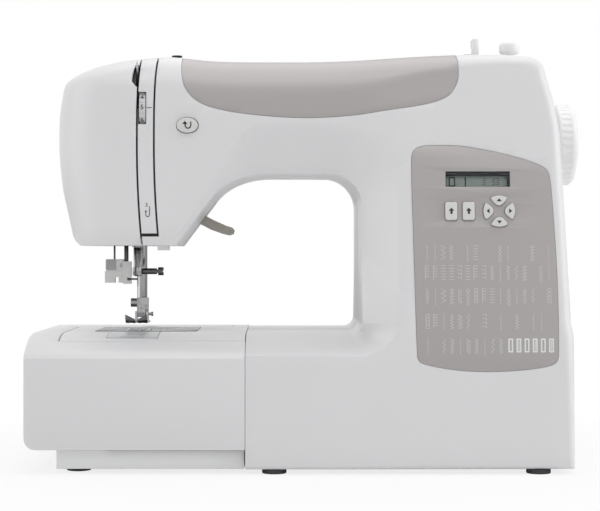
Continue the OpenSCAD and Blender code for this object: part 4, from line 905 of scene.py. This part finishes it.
# each shape: its strokes, how many times it stands in its column, and their pitch
UNITS = {
    "line": ([[(0, 0), (0, -1.6)]], 5, 2.3),
    "dash": ([[(0, 0), (0, -0.9)]], 7, 1.7),
    "zig": ([[(-1.1, 0), (1.1, -1), (-1.1, -2)]], 5, 2.0),
    "wide": ([[(-1.5, 0), (1.5, -1.6), (-1.5, -3.2)]], 3, 3.2),
    "rung": ([[(-1.5, 0), (1.5, 0)]], 6, 1.9),
    "comb": ([[(-1.4, 0), (1.2, 0)], [(-1.4, 0), (-1.4, -1.9)]], 5, 1.9),
    "hook": ([[(-1.2, 0), (1.2, 0), (1.2, -1.4)]], 4, 2.7),
    "box": ([[(-1.2, 0), (1.2, 0), (1.2, -1.8), (-1.2, -1.8), (-1.2, 0)]], 4, 2.6),
    "eye": ([[(0, 0), (1.1, -1.4), (0, -2.8), (-1.1, -1.4), (0, 0)]], 4, 2.9),
    "leaf": ([[(0, 0), (1.5, -1)], [(0, -0.6), (-1.5, -1.6)], [(0, 0), (0, -2)]], 5, 2.2),
    "wave": ([[(0, 0), (0.9, -0.8), (0, -1.6), (-0.9, -2.4), (0, -3.2)]], 3, 3.2),
    "step": ([[(-1, 0), (-1, -1.2), (1, -1.2), (1, -2.4), (-1, -2.4)]], 4, 2.4)}
CHART = ((158.2, "line dash wide zig . line rung . . eye line . . leaf . dash"),
         (144.3, "comb comb rung rung hook rung comb hook zig line zig wave leaf . eye line"),
         (128.3, "zig dash wide leaf step eye box comb rung line eye line zig wave . box"),
         (110.6, "box comb line zig step wave . hook . line . zig . line dash ."),
         (93.8, "line . wave zig line step zig dash wave zig"))
chart = []
for z, names in CHART:
    for i, kind in enumerate(names.split()):
        if kind == ".":
            continue
        paths, count, pitch = UNITS[kind]
        unit = join("unit", [box for path in paths for box in stroke(path, LINE_W)])
        down_the_row(unit, count, (0, -pitch, 0), pale_print)
        for v in unit.data.vertices:
            v.co += Vector((FIRST_COLUMN_X + COLUMN_PITCH * i, z, 0)) * MM
        chart.append(unit)
print_on_column("stitch_chart", chart, pale_print)

# the buttonhole shapes in a brighter ink: long loops, every other one with a line in it
bright = []
for i in range(6):
    x = 136.2 + COLUMN_PITCH * i
    ring = [(x - 1.2, 93.6), (x + 1.2, 93.6), (x + 1.2, 85), (x - 1.2, 85), (x - 1.2, 93.6)]
    bright += stroke(ring, 1.0) + (stroke([(x, 92.6), (x, 86)], 0.5) if i % 2 else [])
print_on_column("buttonhole_marks", bright, bright_print)


# ---------------------------------------------------------------------------
# Tension dial: a thumb wheel moulded in light grey plastic, with raised lines
# and printed figures round its rim. It turns on its spindle and shows through
# the strip's window.
# ---------------------------------------------------------------------------
def dress(node, material, edge, crease=32, move=None, cuts=()):
    # the node's own solid, with softened edges; move shifts its corners, in mm
    work = bmesh.new()
    work.from_mesh(frame["nodes"][node].data)
    bmesh.ops.remove_doubles(work, verts=work.verts, dist=1e-6)
    bmesh.ops.dissolve_limit(work, angle_limit=math.radians(1.0), verts=work.verts, edges=work.edges)
    if move:
        for v in work.verts:
            v.co = Vector(move(*(v.co / MM))) * MM
    mesh = bpy.data.meshes.new(node + "_piece")
    work.to_mesh(mesh)
    work.free()
    piece = bpy.data.objects.new(node + "_piece", mesh)
    scene.collection.objects.link(piece)
    carve(piece, *cuts)
    return settle(piece, material, body_of(node), node, edge=edge, crease=crease)


FIGURE_T, FIGURE_LIFT = 0.12, 0.03


def numerals(text, size):
    # figures as a thin plate, centred on the origin and drawn in X and Y
    curve = bpy.data.curves.new("figure", "FONT")
    curve.body = text
    curve.size = size * MM
    curve.extrude = FIGURE_T * MM / 2
    curve.align_x = "CENTER"
    curve.align_y = "CENTER"
    figure = bpy.data.objects.new("figure", curve)
    scene.collection.objects.link(figure)
    mesh = bpy.data.meshes.new_from_object(figure.evaluated_get(bpy.context.evaluated_depsgraph_get()))
    bpy.data.objects.remove(figure)
    obj = bpy.data.objects.new("figure", mesh)
    scene.collection.objects.link(obj)
    return obj


def stand(obj, at, right, up):
    # turns a flat drawn piece so that its X and Y run along right and up
    u, v = Vector(right).normalized(), Vector(up).normalized()
    w = u.cross(v)
    for p in obj.data.vertices:
        p.co = Vector(at) * MM + u * p.co.x + v * p.co.y + w * p.co.z
    return obj


dial_grey = moulded("dial_grey_plastic", (0.66, 0.66, 0.66), 0.4, 0.03)
DIAL_Y, DIAL_Z, DIAL_R = -50.0, 255.5, 14.6
dress("tension_dial", dial_grey, 0.2)
for text, lift in (("4", 7.6), ("5", 0.4), ("6", -8.4)):
    a = math.asin(lift / DIAL_R)
    out_by = DIAL_R + FIGURE_LIFT
    at = (-120.4, DIAL_Y - out_by * math.cos(a), DIAL_Z + out_by * math.sin(a))
    figure = stand(numerals(text, 4.6), at, (1, 0, 0), (0, math.sin(a), math.cos(a)))
    figure.name = "dial_figure_" + text
    settle(figure, dark_print, "dial")


# ---------------------------------------------------------------------------
# Marks on the head, printed in dark ink: the thread path's step number and its
# hooked arrow on the strip, and the line that the dial is read against.
# ---------------------------------------------------------------------------
def on_head(obj, x, z):
    # stands a printed mark on the head's leaning face
    slope = 5 / 138
    return stand(obj, (x, head_face(z) - 0.02, z), (1, 0, 0), (0, slope, 1))


settle(on_head(numerals("3", 4.0), -117.0, 186.9), dark_print, "machine").name = "step_figure"
HOOK_PATH = [(1.3, 4.1), (1.3, -1.8), (0.8, -2.7), (0, -3), (-0.8, -2.7), (-1.3, -1.8), (-1.3, 0.4)]
hook_arrow = join("step_arrow", stroke(HOOK_PATH, 0.5)
                  + [flat_plate([(-2.1, 0.3), (-0.5, 0.3), (-1.3, 1.8)], PRINT_LOW, PRINT_HIGH)])
settle(on_head(hook_arrow, -116.2, 181.7), dark_print, "machine")
pointer = join("dial_pointer", stroke([(-1.6, 0), (1.6, 0)], 0.5))
settle(on_head(pointer, -115.2, DIAL_Z + 0.2), dark_print, "machine")


# ---------------------------------------------------------------------------
# Reverse button: an oval button moulded in white under the grey arm panel, with
# a printed turning arrow. It slides in a hole in the front cover.
# ---------------------------------------------------------------------------
dress("reverse_button", key_white, 0.6, 40)
BUTTON_Y = min(v.co.y for v in frame["nodes"]["reverse_button"].data.vertices) / MM
TURN_PATH = [(2.6, 2.2), (2.6, -0.4), (1.9, -1.8), (0.6, -2.3), (-0.7, -1.8), (-1.4, -0.4), (-1.4, 1.2)]
turn_arrow = join("turn_arrow", stroke(TURN_PATH, 0.8)
                  + [flat_plate([(-3.4, 0.8), (0.2, 0.8), (-1.6, 3.0)], PRINT_LOW, PRINT_HIGH)])
button_middle = (BUTTON_X, BUTTON_Y, BUTTON_Z)
settle(stand(turn_arrow, button_middle, (1, 0, 0), (0, 0, 1)), dark_print, "reverse")


# ---------------------------------------------------------------------------
# Handwheel: a round wheel moulded in white with a finely fluted rim, fixed to
# the upper shaft where that leaves the column.
# ---------------------------------------------------------------------------
wheel_white = moulded("wheel_white", (0.9, 0.9, 0.895), 0.36, 0.02)
WHEEL_R = 29.5
WHEEL_PROFILE = [(3.1, 177.4), (WHEEL_R - 2.5, 177.4), (WHEEL_R - 0.8, 178.1), (WHEEL_R, 179.4),
                 (WHEEL_R, 180), (WHEEL_R, 180.01), (WHEEL_R, 187.2), (WHEEL_R, 187.21),
                 (WHEEL_R - 0.2, 188.6), (WHEEL_R - 1, 190), (WHEEL_R - 2.6, 191.2), (WHEEL_R - 5, 191.8),
                 (WHEEL_R - 9, 192), (3.1, 192)]
wheel = turned("handwheel_rim", WHEEL_PROFILE, SHAFT_Y, SHAFT_Z, 288, 36, 0.6, (180.005, 187.205))
settle(wheel, wheel_white, "main_drive", "handwheel", crease=50)


# ---------------------------------------------------------------------------
# Presser lifter: the hand lever behind the needle, moulded in warm grey plastic,
# hinged on the frame and cranked down to a thumb pad.
# ---------------------------------------------------------------------------
LIFTER_ELBOW_X, LIFTER_REACH = -84, 0.84
warm_grey = moulded("warm_grey_plastic", (0.46, 0.435, 0.38), 0.4, 0.05)


def shorter(x, y, z):
    # past the elbow the lever is drawn in to its real reach
    past = x - LIFTER_ELBOW_X
    return (x if past < 0 else LIFTER_ELBOW_X + past * LIFTER_REACH, y, z)


dress("presser_lifter", warm_grey, 0.8, move=shorter)


# ---------------------------------------------------------------------------
# Bobbin winder: the spindle and its stop knob on top of the machine, both moulded
# in white, and the black thread guide on the arm. The spindle stands in the
# sliding carrier, which is dressed with the other castings.
# ---------------------------------------------------------------------------
SPINDLE_PROFILE = [(1.9, 264), (1.9, 299.9), (2.7, 300), (2.7, 312.6), (2.4, 314.4), (1.4, 315.2)]
SPINDLE_X, SPINDLE_Y = 124, 14
spindle = post("spindle_post", SPINDLE_PROFILE, SPINDLE_X, SPINDLE_Y)
spring = block((120.7, 13.2, 307.5), (122, 14.8, 313.2))
settle(join("spindle_post", [spindle, spring]), wheel_white, "spindle", "winder_spindle", edge=0.15)
KNOB_PROFILE = [(1.9, 288), (1.9, 291), (3, 291.2), (3, 303), (6.6, 303.1), (7.4, 304), (7.6, 305),
                (7.6, 308.8), (7, 310.4), (5.6, 311.5), (3, 311.9), (0.5, 312)]
settle(post("stop_knob", KNOB_PROFILE, STOP_X, WINDER_Y), wheel_white, "machine", "winder_stop")
GUIDE_STEM_Z, GUIDE_LIFT = 290, 2.4


def raised(x, y, z):
    # the guide's head stands higher on its stem
    return (x, y, z + GUIDE_LIFT if z > GUIDE_STEM_Z else z)


dress("winding_tension", black_plastic, 0.1, move=raised)


# ---------------------------------------------------------------------------
# Needle threader: two steel rods that slide in the head and carry a moulded
# body in warm white, with a grey block above it and a steel hook below.
# ---------------------------------------------------------------------------
def metal(name, colour, rough, brushed, scale=(40, 40, 2500)):
    # a bare metal with the lay of its last machining
    material, tree, surface = new_finish(name, Metallic=1)
    where = add(tree, "ShaderNodeTexCoord")
    turn = add(tree, "ShaderNodeMapping", Scale=scale)
    grain = add(tree, "ShaderNodeTexNoise", Scale=1, Detail=4)
    level = add(tree, "ShaderNodeMapRange", To_Min=max(0.03, rough - 0.06), To_Max=rough + 0.06)
    tint = add(tree, "ShaderNodeMix", data_type="RGBA", A=(*[c * 0.9 for c in colour], 1), B=(*colour, 1))
    bump = add(tree, "ShaderNodeBump", Strength=brushed, Distance=0.0002)
    wire(tree,
         (where.outputs["Object"], turn.inputs["Vector"]),
         (turn.outputs["Vector"], grain.inputs["Vector"]),
         (grain.outputs["Fac"], level.inputs["Value"]),
         (level.outputs["Result"], surface.inputs["Roughness"]),
         (grain.outputs["Fac"], tint.inputs["Factor"]),
         (tint.outputs["Result"], surface.inputs["Base Color"]),
         (grain.outputs["Fac"], bump.inputs["Height"]),
         (bump.outputs["Normal"], surface.inputs["Normal"]))
    return material


dark_steel = metal("dark_steel", (0.13, 0.13, 0.135), 0.3, 0.05)
thread_grey = moulded("threader_grey", (0.42, 0.42, 0.43), 0.45, 0.03)
RODS_FROM_Z = 149
threader = dress("needle_threader", key_white, 0.25)
threader.data.materials.append(dark_steel)
for poly in threader.data.polygons:
    if poly.center.z / MM > RODS_FROM_Z:
        poly.material_index = 1
THREADER_Y = min(v.co.y for v in threader.data.vertices) / MM
grip = block((-149.9, THREADER_Y - 0.15, 141), (-142.4, THREADER_Y + 1.5, 148.4), "threader_grip")
settle(grip, thread_grey, body_of("needle_threader"), edge=0.3)
dress("threader_hook", dark_steel, 0.12)


# ---------------------------------------------------------------------------
# Drive: ground steel shafts in sintered bronze bushes, rubber belts and a motor
# in a black case. The vee pulleys run just inside the column's end wall.
# ---------------------------------------------------------------------------
ground_steel = metal("ground_steel", (0.55, 0.55, 0.56), 0.3, 0.08)
bronze = metal("sintered_bronze", (0.5, 0.36, 0.18), 0.45, 0.1, (900, 900, 900))
belt_rubber = moulded("belt_rubber", (0.02, 0.02, 0.02), 0.65, 0.2)
DRIVE_END_X, DRIVE_SHIFT = 158, 6


def inboard(x, y, z):
    # what lies past DRIVE_END_X moves in, clear of the column's end wall
    return (x - DRIVE_SHIFT if x > DRIVE_END_X else x, y, z)


dress("upper_shaft", ground_steel, 0.12, move=inboard)
dress("motor_pulley", ground_steel, 0.12, move=inboard)
dress("motor_belt", belt_rubber, 0, move=inboard)
dress("timing_belt", belt_rubber, 0)
dress("lower_shaft", ground_steel, 0.12)
dress("motor", black_plastic, 0.25)
dress("shaft_bushes", bronze, 0.2)


# ---------------------------------------------------------------------------
# Frame castings: the main frame that carries the shafts, the swinging frame
# of the needle bar and the winder's sliding carrier, all die-cast in light alloy.
# ---------------------------------------------------------------------------
casting = metal("die_casting", (0.5, 0.5, 0.52), 0.5, 0.2, (900, 900, 900))
for node in ("main_frame", "needle_bar_frame", "winder_carrier"):
    dress(node, casting, 0.4)


# ---------------------------------------------------------------------------
# Needle bar and thread path: the chromed bar with its needle, held by a dark
# steel clamp screw, and the take-up lever and tension discs in ground steel.
# ---------------------------------------------------------------------------
chrome = metal("polished_chrome", (0.4, 0.4, 0.41), 0.16, 0.02)
for node in ("needle_bar", "needle"):
    dress(node, chrome, 0.12)
dress("needle_clamp_screw", dark_steel, 0.12)
for node in ("take_up_lever", "tension_discs"):
    dress(node, ground_steel, 0.12)


# ---------------------------------------------------------------------------
# Presser bar and foot: a chromed steel bar under its spring, and the foot that
# snaps on its holder, whose toes sweep up towards their outer ends.
# ---------------------------------------------------------------------------
NEEDLE_X = -127.5
SOLE = min(v.co.z for v in frame["nodes"]["presser_foot"].data.vertices) / MM


def winged(x, y, z):
    # lowers the toes' top near the needle and leaves it high at their outer ends
    if y < -24 and z > SOLE + 2:
        z = SOLE + (z - SOLE) * (0.42 + 0.58 * min(1, abs(x - NEEDLE_X) / 8))
    return x, y, z


for node in ("presser_bar", "foot_holder"):
    dress(node, chrome, 0.12)
dress("presser_foot", chrome, 0.12, move=winged)
dress("presser_spring", ground_steel, 0.12)


# ---------------------------------------------------------------------------
# Free arm: its cover moulded in white ABS, with a pocket for the dark steel
# needle plate and its screws, and the frosted plastic slide over the bobbin.
# ---------------------------------------------------------------------------
frosted = moulded("frosted_plastic", (0.6, 0.61, 0.62), 0.3, 0.02)
# the plate's pocket runs into the back wall, so that no thin strip is left between them
POCKET_END = [(-159.5, 39), (-82.5, 39), (-82.5, 41.3), (-159.5, 41.3)]
pocket_end = flat_plate(POCKET_END, 88, 95)
dress("free_arm_cover", white_shell, 0.4, 30, cuts=[pocket_end])
dress("needle_plate", dark_steel, 0.12)
dress("plate_screws", ground_steel, 0.12)
dress("bobbin_cover", frosted, 0.1)


# ---------------------------------------------------------------------------
# Hook and feed under the plate: the hook, in ground steel, turns round a black
# plastic case that holds a clear bobbin, beside the toothed feed dog.
# ---------------------------------------------------------------------------
clear = new_finish("clear_plastic", Base_Color=(0.9, 0.92, 0.93, 1), Roughness=0.06, Transmission_Weight=0.9,
                   IOR=1.2, Specular_IOR_Level=0.15)[0]
for node in ("feed_dog", "rotary_hook"):
    dress(node, ground_steel, 0.12)
dress("bobbin_case", black_plastic, 0.25)
dress("bobbin", clear, 0.1)


# ---------------------------------------------------------------------------
# Extension table: the box moulded in white ABS that slides off the free arm to
# the left, and the lid hinged over its accessory tray.
# ---------------------------------------------------------------------------
dress("extension_table", white_shell, 0.9, 30)
dress("accessory_lid", white_shell, 0.4, 30)


# ---------------------------------------------------------------------------
# Base: the tray that closes the machine below, moulded in white. Six black
# rubber feet are fixed under it.
# ---------------------------------------------------------------------------
foot_rubber = moulded("foot_rubber", (0.05, 0.05, 0.055), 0.7, 0.2)
# painted light: the tray takes the wheel's lighter white rather than the shell's, to offset the shade it
# sits in under the table
dress("base_tray", wheel_white, 0.4, 30)
dress("rubber_feet", foot_rubber, 0.4)


# ---------------------------------------------------------------------------
# Small mouldings in white ABS: the folding carrying handle and the spool pin
# that lie in the rack, and the lamp's housing under the head.
# ---------------------------------------------------------------------------
for node in ("spool_pin", "carry_handle", "lamp"):
    dress(node, white_shell, 0.25)


# ---------------------------------------------------------------------------
# Electrics: the green circuit board on its posts behind the display, and the
# power inlet and rocker switch in black plastic in the column's end.
# ---------------------------------------------------------------------------
board_green = moulded("board_green", (0.02, 0.09, 0.04), 0.4, 0.05)
dress("circuit_board", board_green, 0.1)
for node in ("power_inlet", "power_switch"):
    dress(node, black_plastic, 0.25)
